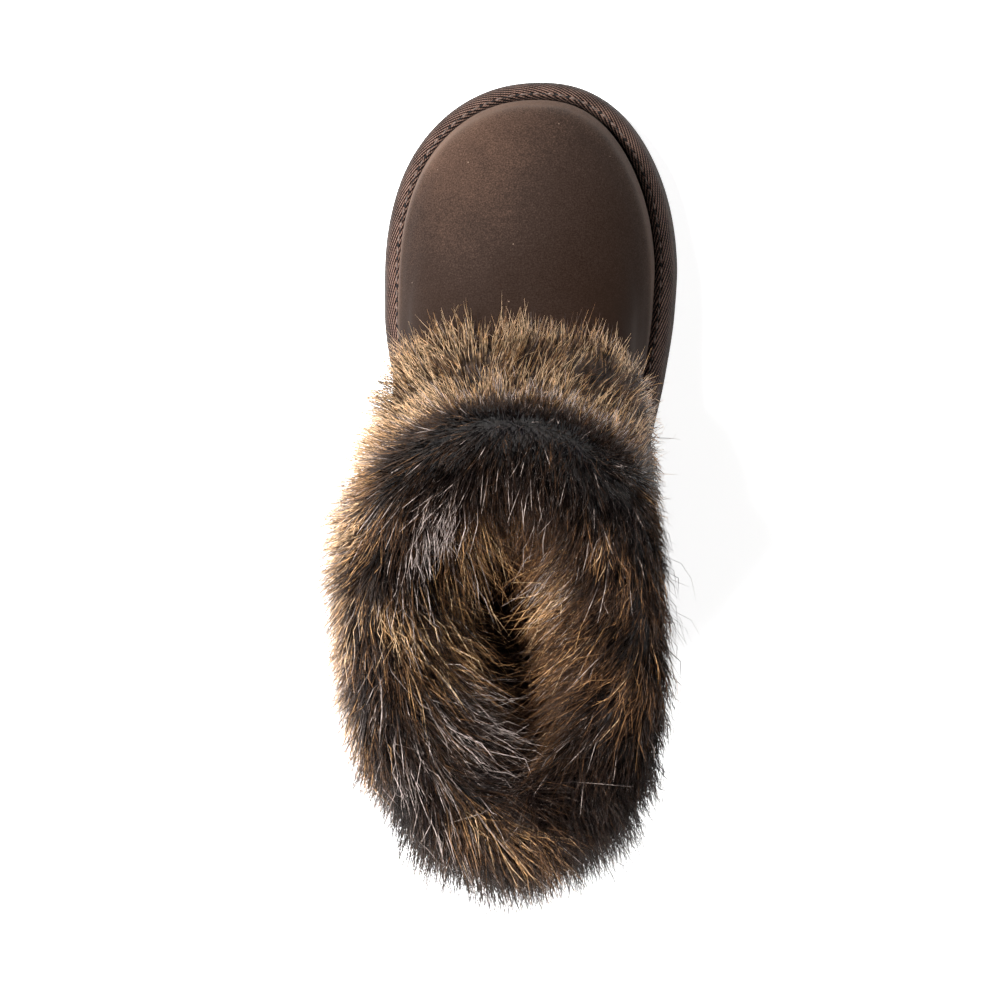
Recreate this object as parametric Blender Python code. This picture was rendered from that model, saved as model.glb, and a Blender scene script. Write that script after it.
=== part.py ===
"""A low lined leather boot with a deep fur cuff, for the left foot.

Run it with: blender --background --python part.py

The toe points along -Y, the outer side of the foot is +X and the boot stands on z = 0.
Lengths are in metres. A station is a distance back from the toe tip, along the sole.
Every piece is worked out from two curves: the outline of the sole and the oval of the shaft.
"""

import math
from collections import namedtuple
from functools import lru_cache

import bmesh
import bpy
from mathutils import Vector

# Driving dimensions of the boot.
SOLE_LENGTH = 0.266
BALL_OUTER = 0.0556  # half-width at the ball, on the outer side
BALL_INNER = 0.0526  # half-width at the ball, on the inner side
TOE_CAP = 0.072  # length of the round toe, from the tip back to the ball
TOE_ROUND = 2.2  # exponent of the toe's superellipse: 2 is an ellipse, more is squarer
TOE_SWING = 0.002  # the tip of the toe lies this far towards the inner side
TOE_SWING_END = 0.035
HEEL_CAP = 0.040
HEEL_ROUND = 2.2
SHAFT_SHIFT = 0.0015  # the shaft stands this far to the outer side of the sole's middle
WALL = 0.004  # leather with its bonded lining
GAP = 0.0003  # left between pieces that meet

# The edge binding: a folded tape that stands on the edge of the sole, round the upper.
TAPE_WIDTH = 0.0070
TAPE_HEIGHT = 0.0090
SOLE_EDGE = 0.0010  # the sole shows this far past the tape

INSOLE_THICKNESS = 0.005
INSOLE_CROWN = 0.0012  # height and width of its rounded edge

# Points round a piece. The outer pieces are finer, so they clear the coarser upper inside them.
COLUMNS = 56
FINE_COLUMNS = 84

Side = namedtuple("Side", "station outer inner")
# Half-widths of the sole, before the round caps of toe and heel are taken off.
SOLE_SIDES = (
    Side(0.000, BALL_OUTER, BALL_INNER),
    Side(0.066, BALL_OUTER, BALL_INNER),
    Side(0.084, BALL_OUTER, 0.0516),
    Side(0.108, 0.0524, 0.0480),
    Side(0.140, 0.0460, 0.0412),
    Side(0.175, 0.0408, 0.0376),
    Side(0.215, 0.0390, 0.0376),
    Side(0.266, 0.0385, 0.0375),
)

Profile = namedtuple("Profile", "station underside topside")
# Side view of the sole: toe spring, forefoot pad, arch, heel pad.
SOLE_PROFILE = (
    Profile(0.000, 0.0090, 0.0205),
    Profile(0.026, 0.0042, 0.0172),
    Profile(0.052, 0.0010, 0.0152),
    Profile(0.078, 0.0000, 0.0145),
    Profile(0.142, 0.0000, 0.0160),
    Profile(0.154, 0.0030, 0.0168),
    Profile(0.186, 0.0030, 0.0192),
    Profile(0.198, 0.0000, 0.0200),
    Profile(0.266, 0.0000, 0.0215),
)

Edge = namedtuple("Edge", "inset rise from_top")
# Section of the sole's edge: rise is above the underside, or below the top where from_top is set.
SOLE_EDGES = (
    Edge(0.0030, 0.0000, False),
    Edge(0.0012, 0.0014, False),
    Edge(0.0003, 0.0048, False),
    Edge(0.0000, 0.0030, True),
    Edge(0.0010, 0.0000, True),
)

Fold = namedtuple("Fold", "across rise")
# Section of the tape: shares of its width, in from its outer edge, and of its height.
TAPE_FOLDS = (
    Fold(1.00, 0.03),
    Fold(1.00, 0.92),
    Fold(0.87, 1.00),
    Fold(0.58, 0.90),
    Fold(0.27, 0.70),
    Fold(0.08, 0.44),
    Fold(0.00, 0.20),
    Fold(0.06, 0.03),
)

Section = namedtuple(
    "Section", "name row morph toe_inset inset keep front side back oval_front oval_back oval_half"
)
# Sections of the upper from the edge of the sole to the collar. morph goes from the outline of
# the sole (0) to the oval of the shaft (1), and the insets are taken off the outline. front, side
# and back are heights, on top of the sole where keep is 1 and above the ground where it is 0.
UPPER_SECTIONS = (
    Section("feather", 0, 0.00, 0.0086, 0.0086, 1, 0.0003, 0.0003, 0.0003, 0.126, 0.257, 0.042),
    Section("tape", 1, 0.00, 0.0088, 0.0085, 1, 0.0090, 0.0090, 0.0090, 0.126, 0.257, 0.042),
    Section("bulge", 2, 0.00, 0.0096, 0.0074, 1, 0.0170, 0.0160, 0.0160, 0.126, 0.257, 0.042),
    Section("toe side", 3, 0.02, 0.0110, 0.0076, 0, 0.0455, 0.0375, 0.0440, 0.126, 0.257, 0.042),
    Section("toe shoulder", 4, 0.08, 0.0125, 0.0098, 0, 0.0540, 0.0440, 0.0515, 0.126, 0.257, 0.042),
    Section("toe top", 5, 0.20, 0.0140, 0.0130, 0, 0.0605, 0.0505, 0.0585, 0.126, 0.257, 0.042),
    Section("vamp", 6, 0.39, 0.0145, 0.0145, 0, 0.0660, 0.0570, 0.0650, 0.126, 0.257, 0.042),
    Section("low instep", 7, 0.60, 0.0140, 0.0140, 0, 0.0725, 0.0635, 0.0715, 0.126, 0.256, 0.042),
    Section("instep", 8, 0.81, 0.0140, 0.0140, 0, 0.0815, 0.0720, 0.0795, 0.126, 0.255, 0.042),
    Section("ankle", 9, 0.94, 0.0140, 0.0140, 0, 0.0925, 0.0845, 0.0895, 0.127, 0.254, 0.042),
    Section("throat", 10, 1.00, 0.0140, 0.0140, 0, 0.1070, 0.1010, 0.1030, 0.129, 0.254, 0.042),
    Section("collar", 11, 1.00, 0.0140, 0.0140, 0, 0.1360, 0.1370, 0.1400, 0.134, 0.255, 0.042),
)
COLLAR = 11
# Rings of the upper from each section to the next, on its outer face and on its lining.
OUTER_RINGS = (1, 1, 1, 2, 2, 2, 2, 2, 3, 3, 3)
LINING_RINGS = (1, 1, 1, 1, 1, 1, 1, 1, 1, 1, 3)

# The lower edge of the cuff, as a row of the upper: high in front, so it runs straight across.
HEM_FRONT = 8.1
HEM_SIDE = 6.6
HEM_BACK = 6.8
HEM_TURN = 2.7  # exponent: more makes the edge drop sooner from the front to the sides
CUFF_STEPS = 9  # rings of the cuff along the outside of the shaft

Pile = namedtuple("Pile", "turn outer inner")
# Depth of the fur off the shaft, from the front (0 degrees) round each side to the back (180).
FUR_DEPTH = (
    Pile(0, 0.0130, 0.0130),
    Pile(45, 0.0190, 0.0165),
    Pile(90, 0.0125, 0.0075),
    Pile(135, 0.0130, 0.0150),
    Pile(180, 0.0175, 0.0175),
)
FUR_TOP = 0.0150  # above the collar
FUR_INSIDE = 0.0110  # off the lining, inside the shaft

Face = namedtuple("Face", "climb share lift")
# Face of the fur outside the shaft, from the top down: climb is from the hem (0) to the
# collar (1), share is of the fur's depth and lift is of its height above the collar.
FUR_OUTSIDE = (
    Face(1.00, 0.60, 0.72),
    Face(1.00, 0.92, 0.00),
    Face(0.82, 1.04, 0.00),
    Face(0.58, 1.06, 0.00),
    Face(0.34, 1.02, 0.00),
    Face(0.12, 0.88, 0.00),
    Face(-0.05, 0.55, 0.00),
    Face(-0.02, 0.12, 0.00),
)

# Tread: straight grooves across the two pads.
GROOVE_WIDTH = 0.0030
GROOVE_DEPTH = 0.0022
GROOVE_PITCH = 0.0110
CUTTER_HEIGHT = 0.0120
CUTTER_LENGTH = 0.20
Pad = namedtuple("Pad", "first_groove grooves")
PADS = (Pad(0.034, 10), Pad(0.209, 4))

Finish = namedtuple("Finish", "name colour roughness")
RUBBER = Finish("outsole_rubber", (0.030, 0.022, 0.018), 0.75)
TAPE = Finish("twill_tape", (0.085, 0.055, 0.043), 0.85)
LEATHER = Finish("waxed_leather", (0.070, 0.045, 0.033), 0.55)
FUR = Finish("long_fur", (0.060, 0.038, 0.024), 0.90)
FLEECE = Finish("insole_fleece", (0.120, 0.080, 0.055), 0.95)


# Tables and curves.


def slopes_of(keys, values):
    """Tangents for a cubic through a table that never passes its own highs and lows."""
    steps = [(b - a) / (k - h) for a, b, h, k in zip(values, values[1:], keys, keys[1:])]
    inner = [0.0 if a * b <= 0 else 2 * a * b / (a + b) for a, b in zip(steps, steps[1:])]
    return [steps[0], *inner, steps[-1]]


@lru_cache(maxsize=None)
def column_of(table, key, column):
    keys = [getattr(row, key) for row in table]
    values = [getattr(row, column) for row in table]
    return keys, values, slopes_of(keys, values)


def read_table(table, key, column, at):
    """Smooth value of one column of a table at a place between its rows."""
    keys, values, slopes = column_of(table, key, column)
    at = min(max(at, keys[0]), keys[-1])
    i = max(n for n, k in enumerate(keys[:-1]) if k <= at)
    span = keys[i + 1] - keys[i]
    t = (at - keys[i]) / span
    start = values[i] * (2 * t**3 - 3 * t**2 + 1) + slopes[i] * span * (t**3 - 2 * t**2 + t)
    end = values[i + 1] * (3 * t**2 - 2 * t**3) + slopes[i + 1] * span * (t**3 - t**2)
    return start + end


def round_cap(distance, length, exponent):
    """Share of the full width that a superellipse leaves at this distance from its tip."""
    if distance >= length:
        return 1.0
    return (1 - (1 - max(distance, 0) / length) ** exponent) ** (1 / exponent)


def outline_point(station, side):
    """Point of the sole's outline, with side 1 for the outer and -1 for the inner."""
    width = read_table(SOLE_SIDES, "station", "outer" if side > 0 else "inner", station)
    width *= round_cap(station, TOE_CAP, TOE_ROUND)
    width *= round_cap(SOLE_LENGTH - station, HEEL_CAP, HEEL_ROUND)
    swing = TOE_SWING * max(0.0, 1 - station / TOE_SWING_END) ** 2
    return Vector((side * width - swing, station - SOLE_LENGTH / 2, 0))


def half_outline(side, count):
    """count + 1 points from toe to heel, at even distances along one half of the outline."""
    fine = 600
    turns = [math.pi * i / fine for i in range(fine + 1)]
    points = [outline_point(SOLE_LENGTH * (1 - math.cos(turn)) / 2, side) for turn in turns]
    along = [0.0]
    for a, b in zip(points, points[1:]):
        along.append(along[-1] + (b - a).length)
    found, i = [], 0
    for n in range(count + 1):
        want = along[-1] * n / count
        while i < fine - 1 and along[i + 1] < want:
            i += 1
        found.append(points[i].lerp(points[i + 1], (want - along[i]) / (along[i + 1] - along[i])))
    return found


@lru_cache(maxsize=None)
def outline(count):
    """The sole's outline from the toe round the outer side to the heel and back."""
    return half_outline(1, count // 2) + half_outline(-1, count // 2)[-2:0:-1]


def inward(ring, i):
    along = ring[(i + 1) % len(ring)] - ring[i - 1]
    return Vector((-along.y, along.x, 0)).normalized()


def moved_in(ring, distance):
    return [point + inward(ring, i) * distance for i, point in enumerate(ring)]


def underside(point):
    return read_table(SOLE_PROFILE, "station", "underside", point.y + SOLE_LENGTH / 2)


def topside(point):
    return read_table(SOLE_PROFILE, "station", "topside", point.y + SOLE_LENGTH / 2)


def lifted(ring, height_of):
    return [Vector((point.x, point.y, height_of(point))) for point in ring]


def turn_of(i):
    """Angle of a column of the upper, from the front (0) by the outer side to the back (pi)."""
    return 2 * math.pi * i / COLUMNS


def from_side(i, side, front, back):
    """side at the sides, changing smoothly to front and back."""
    facing = math.cos(turn_of(i))
    return side + ((front if facing > 0 else back) - side) * facing**2


# The upper's outer face, and what lies at a depth off it.


def upper_point(i, row):
    """Point of the upper's outer face on column i, at a row between its sections."""

    def value(column):
        return read_table(UPPER_SECTIONS, "row", column, row)

    foot, turn = outline(COLUMNS), turn_of(i)
    inset = from_side(i, value("inset"), value("toe_inset"), value("inset"))
    low = foot[i] + inward(foot, i) * inset
    middle = (value("oval_front") + value("oval_back") - SOLE_LENGTH) / 2
    half_length = (value("oval_back") - value("oval_front")) / 2
    across = SHAFT_SHIFT + value("oval_half") * math.sin(turn)
    high = Vector((across, middle - half_length * math.cos(turn), 0))
    point = low.lerp(high, value("morph"))
    height = from_side(i, value("side"), value("front"), value("back"))
    point.z = height + value("keep") * topside(low)
    return point


def off_upper(i, row, depth):
    """Point at a depth off the upper's outer face; a depth below zero is inside."""
    step = 0.05
    before, after = upper_point(i - 1, row), upper_point((i + 1) % COLUMNS, row)
    below, above = upper_point(i, max(row - step, 0)), upper_point(i, min(row + step, COLLAR))
    return upper_point(i, row) + (after - before).cross(above - below).normalized() * depth


def ring_off_upper(row, depth):
    return [off_upper(i, row, depth) for i in range(COLUMNS)]


# Meshes.


def finish_of(look):
    made = bpy.data.materials.new(look.name)
    made.use_nodes = True
    shader = made.node_tree.nodes["Principled BSDF"]
    shader.inputs["Base Color"].default_value = (*look.colour, 1)
    shader.inputs["Roughness"].default_value = look.roughness
    shader.inputs["Metallic"].default_value = 0
    made.diffuse_color = (*look.colour, 1)
    return made


def piece_from(name, rings, faces, look, parent):
    """An object from rings of points, and from faces that name each corner by ring and place."""
    shell = bmesh.new()
    corners = [[shell.verts.new(point) for point in ring] for ring in rings]
    for face in faces:
        shell.faces.new([corners[r][i] for r, i in face])
    bmesh.ops.recalc_face_normals(shell, faces=shell.faces)
    mesh = bpy.data.meshes.new(name)
    shell.to_mesh(mesh)
    shell.free()
    mesh.shade_smooth()
    mesh.set_sharp_from_angle(angle=math.radians(40))
    mesh.materials.append(finish_of(look))
    piece = bpy.data.objects.new(name, mesh)
    bpy.context.scene.collection.objects.link(piece)
    piece.parent = parent
    return piece


def bands(ring_count, count, wrapped):
    """Four-sided faces from each ring to the next, and from the last to the first if wrapped."""
    found = []
    for r in range(ring_count if wrapped else ring_count - 1):
        following = (r + 1) % ring_count
        for i in range(count):
            j = (i + 1) % count
            found.append(((r, i), (r, j), (following, j), (following, i)))
    return found


def ladder(r, count):
    """Faces across a ring, from its outer to its inner side."""
    half = count // 2
    found = [((r, 0), (r, 1), (r, count - 1)), ((r, half), (r, half + 1), (r, half - 1))]
    for i in range(1, half - 1):
        found.append(((r, i), (r, i + 1), (r, count - i - 1), (r, count - i)))
    return found


def tube_piece(name, rings, look, parent):
    """A hollow piece whose section is the closed loop of rings."""
    return piece_from(name, rings, bands(len(rings), len(rings[0]), True), look, parent)


def slab_piece(name, rings, look, parent):
    """A solid piece of stacked rings, closed at its bottom and top."""
    count, last = len(rings[0]), len(rings) - 1
    faces = bands(len(rings), count, False) + ladder(0, count) + ladder(last, count)
    return piece_from(name, rings, faces, look, parent)


# Pieces.


def groove_cutter(parent):
    """The bars that cut the tread, as one helper object."""
    bars = bmesh.new()
    for pad in PADS:
        for n in range(pad.grooves):
            y = pad.first_groove + n * GROOVE_PITCH - SOLE_LENGTH / 2
            ceiling = underside(Vector((0, y, 0))) + GROOVE_DEPTH
            made = bmesh.ops.create_cube(bars, size=1)["verts"]
            bmesh.ops.scale(bars, verts=made, vec=(CUTTER_LENGTH, GROOVE_WIDTH, CUTTER_HEIGHT))
            bmesh.ops.translate(bars, verts=made, vec=(0, y, ceiling - CUTTER_HEIGHT / 2))
    mesh = bpy.data.meshes.new("groove_cutter")
    bars.to_mesh(mesh)
    bars.free()
    cutter = bpy.data.objects.new("groove_cutter", mesh)
    bpy.context.scene.collection.objects.link(cutter)
    cutter.hide_render = True
    cutter.display_type = "WIRE"
    cutter.parent = parent
    return cutter


def make_outsole(parent):
    """The moulded sole, with grooves cut across its forefoot and heel pads."""

    def height_of(edge):
        if edge.from_top:
            return lambda point: topside(point) - edge.rise
        return lambda point: underside(point) + edge.rise

    rings = [lifted(moved_in(outline(FINE_COLUMNS), e.inset), height_of(e)) for e in SOLE_EDGES]
    sole = slab_piece("outsole", rings, RUBBER, parent)
    cut = sole.modifiers.new("tread", "BOOLEAN")
    cut.operation = "DIFFERENCE"
    cut.solver = "EXACT"
    cut.object = groove_cutter(parent)


def make_tape(parent):
    """The folded tape: a rounded ridge that slopes down to the edge of the sole."""
    rings = []
    for fold in TAPE_FOLDS:
        line = moved_in(outline(FINE_COLUMNS), SOLE_EDGE + TAPE_WIDTH * fold.across)
        rings.append(lifted(line, lambda p, fold=fold: topside(p) + TAPE_HEIGHT * fold.rise))
    tube_piece("edge_tape", rings, TAPE, parent)


def make_upper(parent):
    """Vamp, quarters and shaft: one wall, open at the collar and underneath."""

    def rows_of(counts):
        return [0.0] + [s + (n + 1) / count for s, count in enumerate(counts) for n in range(count)]

    outer = [ring_off_upper(row, 0) for row in rows_of(OUTER_RINGS)]
    inner = [ring_off_upper(row, -WALL) for row in rows_of(LINING_RINGS)]
    for low, high in zip(inner[0], outer[0]):
        low.z = high.z
    tube_piece("upper", outer + inner[::-1], LEATHER, parent)


def hem_row(i):
    """Row of the upper at which the cuff ends on this column."""
    facing = math.cos(turn_of(i))
    end = HEM_FRONT if facing > 0 else HEM_BACK
    return HEM_SIDE + (end - HEM_SIDE) * abs(facing) ** HEM_TURN


def fur_depth(i):
    degrees = math.degrees(turn_of(i))
    side = "outer" if degrees <= 180 else "inner"
    return read_table(FUR_DEPTH, "turn", side, min(degrees, 360 - degrees))


def make_cuff(parent):
    """The fur cuff: it hangs outside the shaft, covers the collar and turns in."""

    def ring(climb, depth_of, lift=0.0):
        points = []
        for i in range(COLUMNS):
            row = hem_row(i) + (COLLAR - hem_row(i)) * climb
            points.append(off_upper(i, row, depth_of(i)) + Vector((0, 0, lift)))
        return points

    def lining(row, depth, lift=0.0):
        return [point + Vector((0, 0, lift)) for point in ring_off_upper(row, -WALL - depth)]

    on_shaft = [ring(n / CUFF_STEPS, lambda i: GAP) for n in range(CUFF_STEPS + 1)]
    rings = [
        *on_shaft,
        ring(1, lambda i: GAP, GAP),
        lining(COLLAR, GAP, GAP),
        lining(COLLAR, GAP),
        lining(COLLAR - 1 / 3, GAP),
        lining(COLLAR - 2 / 3, GAP),
        lining(COLLAR - 0.80, FUR_INSIDE * 0.50),
        lining(COLLAR - 0.60, FUR_INSIDE * 0.95),
        lining(COLLAR, FUR_INSIDE),
        lining(COLLAR, FUR_INSIDE * 0.70, FUR_TOP * 0.68),
        lining(COLLAR, -WALL / 2, FUR_TOP),
    ]
    for face in FUR_OUTSIDE:
        rings.append(ring(face.climb, lambda i: fur_depth(i) * face.share, FUR_TOP * face.lift))
    tube_piece("fur_cuff", rings, FUR, parent)


def make_insole(parent):
    edge = moved_in(outline(COLUMNS), UPPER_SECTIONS[0].inset + WALL + 2 * GAP)
    rings = [
        lifted(edge, lambda p: topside(p) + GAP),
        lifted(edge, lambda p: topside(p) + INSOLE_THICKNESS - INSOLE_CROWN),
        lifted(moved_in(edge, INSOLE_CROWN), lambda p: topside(p) + INSOLE_THICKNESS),
    ]
    slab_piece("insole", rings, FLEECE, parent)


def stand_on_origin(boot):
    """Puts the middle of the boot's box over the origin, with the tread at z = 0."""
    corners = [v.co for piece in boot.children if not piece.hide_render for v in piece.data.vertices]
    low = [min(c[k] for c in corners) for k in range(3)]
    high = [max(c[k] for c in corners) for k in range(3)]
    boot.location = (-(low[0] + high[0]) / 2, -(low[1] + high[1]) / 2, -low[2])


def main():
    for old in list(bpy.data.objects):
        bpy.data.objects.remove(old, do_unlink=True)
    boot = bpy.data.objects.new("boot", None)
    bpy.context.scene.collection.objects.link(boot)
    for make in (make_outsole, make_tape, make_upper, make_cuff, make_insole):
        make(boot)
    stand_on_origin(boot)


main()
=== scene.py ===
"""Looks for a left winter boot with a deep fur cuff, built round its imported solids.

The toe points along -Y, the outer side of the foot is +X and the boot stands on z = 0.
Lengths are in metres. A share is a place round the boot: 0 at the toe, 0.25 on the outer
side, 0.5 at the heel and 0.75 on the inner side.
"""

import math
from functools import partial

import bmesh
import bpy
import numpy as np
from bpy.props import FloatProperty, FloatVectorProperty, IntProperty, PointerProperty
from bpy.types import Operator, Panel, PropertyGroup
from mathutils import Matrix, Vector, noise


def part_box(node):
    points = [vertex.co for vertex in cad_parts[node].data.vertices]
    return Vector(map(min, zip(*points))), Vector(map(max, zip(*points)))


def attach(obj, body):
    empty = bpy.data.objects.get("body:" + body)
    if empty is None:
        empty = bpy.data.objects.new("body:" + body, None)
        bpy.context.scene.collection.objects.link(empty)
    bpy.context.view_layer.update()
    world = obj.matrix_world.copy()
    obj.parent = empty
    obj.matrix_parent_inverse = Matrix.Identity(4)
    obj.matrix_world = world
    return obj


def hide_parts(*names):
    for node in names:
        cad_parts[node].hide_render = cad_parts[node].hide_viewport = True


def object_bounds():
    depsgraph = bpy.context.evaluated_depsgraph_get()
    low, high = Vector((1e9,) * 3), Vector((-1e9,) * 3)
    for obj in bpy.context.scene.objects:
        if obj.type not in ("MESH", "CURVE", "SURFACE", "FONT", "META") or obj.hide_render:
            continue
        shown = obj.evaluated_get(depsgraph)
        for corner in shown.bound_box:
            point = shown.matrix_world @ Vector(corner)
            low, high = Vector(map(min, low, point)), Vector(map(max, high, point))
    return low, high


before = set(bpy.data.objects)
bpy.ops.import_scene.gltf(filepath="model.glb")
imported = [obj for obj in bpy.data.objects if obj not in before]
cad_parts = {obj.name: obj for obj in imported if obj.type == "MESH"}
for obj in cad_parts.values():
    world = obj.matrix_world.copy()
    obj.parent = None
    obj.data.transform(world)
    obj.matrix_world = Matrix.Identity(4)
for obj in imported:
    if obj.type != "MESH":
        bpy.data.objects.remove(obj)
CAD_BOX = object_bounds()

bl_info = {
    "name": "Fur-cuffed boot",
    "version": (1, 0, 0),
    "blender": (4, 5, 0),
    "location": "View3D > Sidebar > Boot",
    "description": "Dresses the solids of a winter boot in rubber, twill, leather and fur",
    "category": "Object",
}

BODY = "root"
MM = 0.001
STANDS_PROUD = 0.0095  # how far hair tips may pass the solids, besides a share of each side
CAD_LOW, CAD_HIGH = (np.array(corner) for corner in CAD_BOX)
FARTHEST = tuple(CAD_HIGH + (CAD_HIGH - CAD_LOW) * 0.03 + STANDS_PROUD)

# Driving dimensions, as in the solids.
BALL_OUTER = 0.0556  # half-width at the ball, on the outer side
BALL_INNER = 0.0526
TOE_CAP = 0.072
TOE_ROUND = 2.2
TOE_SWING = 0.002
TOE_SWING_END = 0.035
HEEL_CAP = 0.040
HEEL_ROUND = 2.2
SHAFT_SHIFT = 0.0015
WALL = 0.004
GAP = 0.0003
TAPE_WIDTH = 0.0070
TAPE_HEIGHT = 0.0090
SOLE_EDGE = 0.0010
INSOLE_THICKNESS = 0.005
FUR_TOP = 0.0150  # pile above the collar
FUR_INSIDE = 0.0110  # pile off the lining
COLLAR = 11
NORMAL_STEP = 1 / 56  # how far off the points lie that give a surface its direction
ROW_STEP = 0.05  # and how many rows off

SOLE_LOW, SOLE_HIGH = (np.array(corner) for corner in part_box("outsole"))
SOLE_LENGTH = SOLE_HIGH[1] - SOLE_LOW[1]
AXIS_X = SOLE_HIGH[0] - BALL_OUTER  # the long axis of the sole

# Tables: the first entry names the columns, and the first column is what they are read by.
SOLE_SIDES = (
    "station outer inner",
    (0.000, BALL_OUTER, BALL_INNER),
    (0.066, BALL_OUTER, BALL_INNER),
    (0.084, BALL_OUTER, 0.0516),
    (0.108, 0.0524, 0.0480),
    (0.140, 0.0460, 0.0412),
    (0.175, 0.0408, 0.0376),
    (0.215, 0.0390, 0.0376),
    (0.266, 0.0385, 0.0375),
)
SOLE_HEIGHTS = (
    "station topside underside",
    (0.000, 0.0205, 0.0090),
    (0.026, 0.0172, 0.0042),
    (0.052, 0.0152, 0.0010),
    (0.078, 0.0145, 0.0000),
    (0.142, 0.0160, 0.0000),
    (0.154, 0.0168, 0.0030),
    (0.186, 0.0192, 0.0030),
    (0.198, 0.0200, 0.0000),
    (0.266, 0.0215, 0.0000),
)
# Section of the sole's edge: how far in from its outline, and how far above its underside or
# below its top.
LOWER_EDGE = ((0.0030, 0.0), (0.0019, 0.0005), (0.0012, 0.0014), (0.0007, 0.0028), (0.0003, 0.0048))
UPPER_EDGE = ((0.0000, 0.0030), (0.0002, 0.0012), (0.0010, 0.0000))
# Tread: straight grooves across two pads, and between them shallow wavy cuts.
PADS = ((0.034, 10), (0.209, 4))  # station of the first groove, and how many
GROOVE_WIDTH = 0.0030
GROOVE_DEPTH = 0.0022
GROOVE_PITCH = 0.0110
CUTTER_HEIGHT = 0.0120
CUT_POINTS = 49  # points along a wavy cut
SHARP_DEGREES = 32  # edges of the sole that turn by more than this stay crisp
# The upper lies an inset in from the sole's outline, and turns by morph into the oval of the
# shaft. front, side and back are heights, over the sole's top where keep is 1.
UPPER_SECTIONS = (
    "row morph toe_inset inset keep front side back oval_front oval_back oval_half",
    (0, 0.00, 0.0086, 0.0086, 1, 0.0003, 0.0003, 0.0003, 0.126, 0.257, 0.042),
    (1, 0.00, 0.0088, 0.0085, 1, 0.0090, 0.0090, 0.0090, 0.126, 0.257, 0.042),
    (2, 0.00, 0.0096, 0.0074, 1, 0.0170, 0.0160, 0.0160, 0.126, 0.257, 0.042),
    (3, 0.02, 0.0110, 0.0076, 0, 0.0455, 0.0375, 0.0440, 0.126, 0.257, 0.042),
    (4, 0.08, 0.0125, 0.0098, 0, 0.0540, 0.0440, 0.0515, 0.126, 0.257, 0.042),
    (5, 0.20, 0.0140, 0.0130, 0, 0.0605, 0.0505, 0.0585, 0.126, 0.257, 0.042),
    (6, 0.39, 0.0145, 0.0145, 0, 0.0660, 0.0570, 0.0650, 0.126, 0.257, 0.042),
    (7, 0.60, 0.0140, 0.0140, 0, 0.0725, 0.0635, 0.0715, 0.126, 0.256, 0.042),
    (8, 0.81, 0.0140, 0.0140, 0, 0.0815, 0.0720, 0.0795, 0.126, 0.255, 0.042),
    (9, 0.94, 0.0140, 0.0140, 0, 0.0925, 0.0845, 0.0895, 0.127, 0.254, 0.042),
    (10, 1.00, 0.0140, 0.0140, 0, 0.1070, 0.1010, 0.1030, 0.129, 0.254, 0.042),
    (COLLAR, 1.00, 0.0140, 0.0140, 0, 0.1360, 0.1370, 0.1400, 0.134, 0.255, 0.042),
)
HEM_FRONT, HEM_SIDE, HEM_BACK = 8.1, 6.6, 6.8  # rows that the hem of the cuff lies on
HEM_TURN = 2.7  # how sharply it turns up in front and behind
EDGE_ROW = 2.7  # where the leather rolls over towards the tape
FUR_DEPTH = (
    "turn outer inner",
    (0, 0.0130, 0.0130),
    (45, 0.0190, 0.0165),
    (90, 0.0125, 0.0075),
    (135, 0.0130, 0.0150),
    (180, 0.0175, 0.0175),
)
# Section of the cuff: place runs from the hem (0) up the outside to the collar (1), over it and
# down inside the shaft (2). outer and inner are shares of the pile's depth outside and inside,
# wall is how far through the leather and drop is rows down from there.
CUFF_SECTION = (
    "place climb outer wall inner lift drop",
    (0.00, -0.02, 0.12, 0.0, 0.00, 0.00, 0.0),
    (0.08, -0.05, 0.55, 0.0, 0.00, 0.00, 0.0),
    (0.20, 0.12, 0.88, 0.0, 0.00, 0.00, 0.0),
    (0.40, 0.34, 1.02, 0.0, 0.00, 0.00, 0.0),
    (0.60, 0.58, 1.06, 0.0, 0.00, 0.00, 0.0),
    (0.80, 0.82, 1.04, 0.0, 0.00, 0.00, 0.0),
    (1.00, 1.00, 0.92, 0.0, 0.00, 0.00, 0.0),
    (1.15, 1.00, 0.60, 0.0, 0.00, 0.72, 0.0),
    (1.30, 1.00, 0.00, 0.5, 0.00, 1.00, 0.0),
    (1.45, 1.00, 0.00, 1.0, 0.70, 0.68, 0.0),
    (1.60, 1.00, 0.00, 1.0, 1.00, 0.00, 0.0),
    (1.80, 1.00, 0.00, 1.0, 0.95, 0.00, 0.6),
    (2.00, 1.00, 0.00, 1.0, 0.30, 0.00, 1.0),
)
# Section of the folded tape: shares of its width, in from its outer edge, and of its height.
# The bead at the start is the selvedge, and the dip at 0.70 is where the stitches pull it in.
TAPE_SECTION = (
    (1.00, 0.03),
    (1.00, 0.45),
    (1.00, 0.84),
    (1.01, 0.93),
    (0.99, 1.00),
    (0.95, 1.00),
    (0.90, 0.955),
    (0.80, 0.965),
    (0.70, 0.920),
    (0.61, 0.925),
    (0.53, 0.875),
    (0.45, 0.820),
    (0.36, 0.750),
    (0.27, 0.680),
    (0.17, 0.575),
    (0.08, 0.440),
    (0.03, 0.320),
    (0.00, 0.200),
    (0.02, 0.090),
    (0.06, 0.030),
)
STITCH_ROW = 8  # the point of the section that carries the stitches
COLUMNS_PER_STITCH = 6
PULL = 0.35 * MM  # how deep a needle hole draws the tape in
PULL_REACH = 1.1  # and how far, in points of the section
# How many columns of points each piece has round it.
SOLE_COLUMNS, UPPER_COLUMNS, FOOTBED_COLUMNS, UNDERFUR_COLUMNS = 320, 224, 160, 128
# Spans of rows of points on the upper and its lining: first row, last row and how many.
UPPER_SPANS = ((0, 3, 19), (3, 9, 37), (9, COLLAR, 7))
LINING_SPANS = ((0, 10, 21), (10, COLLAR, 4))
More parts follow.
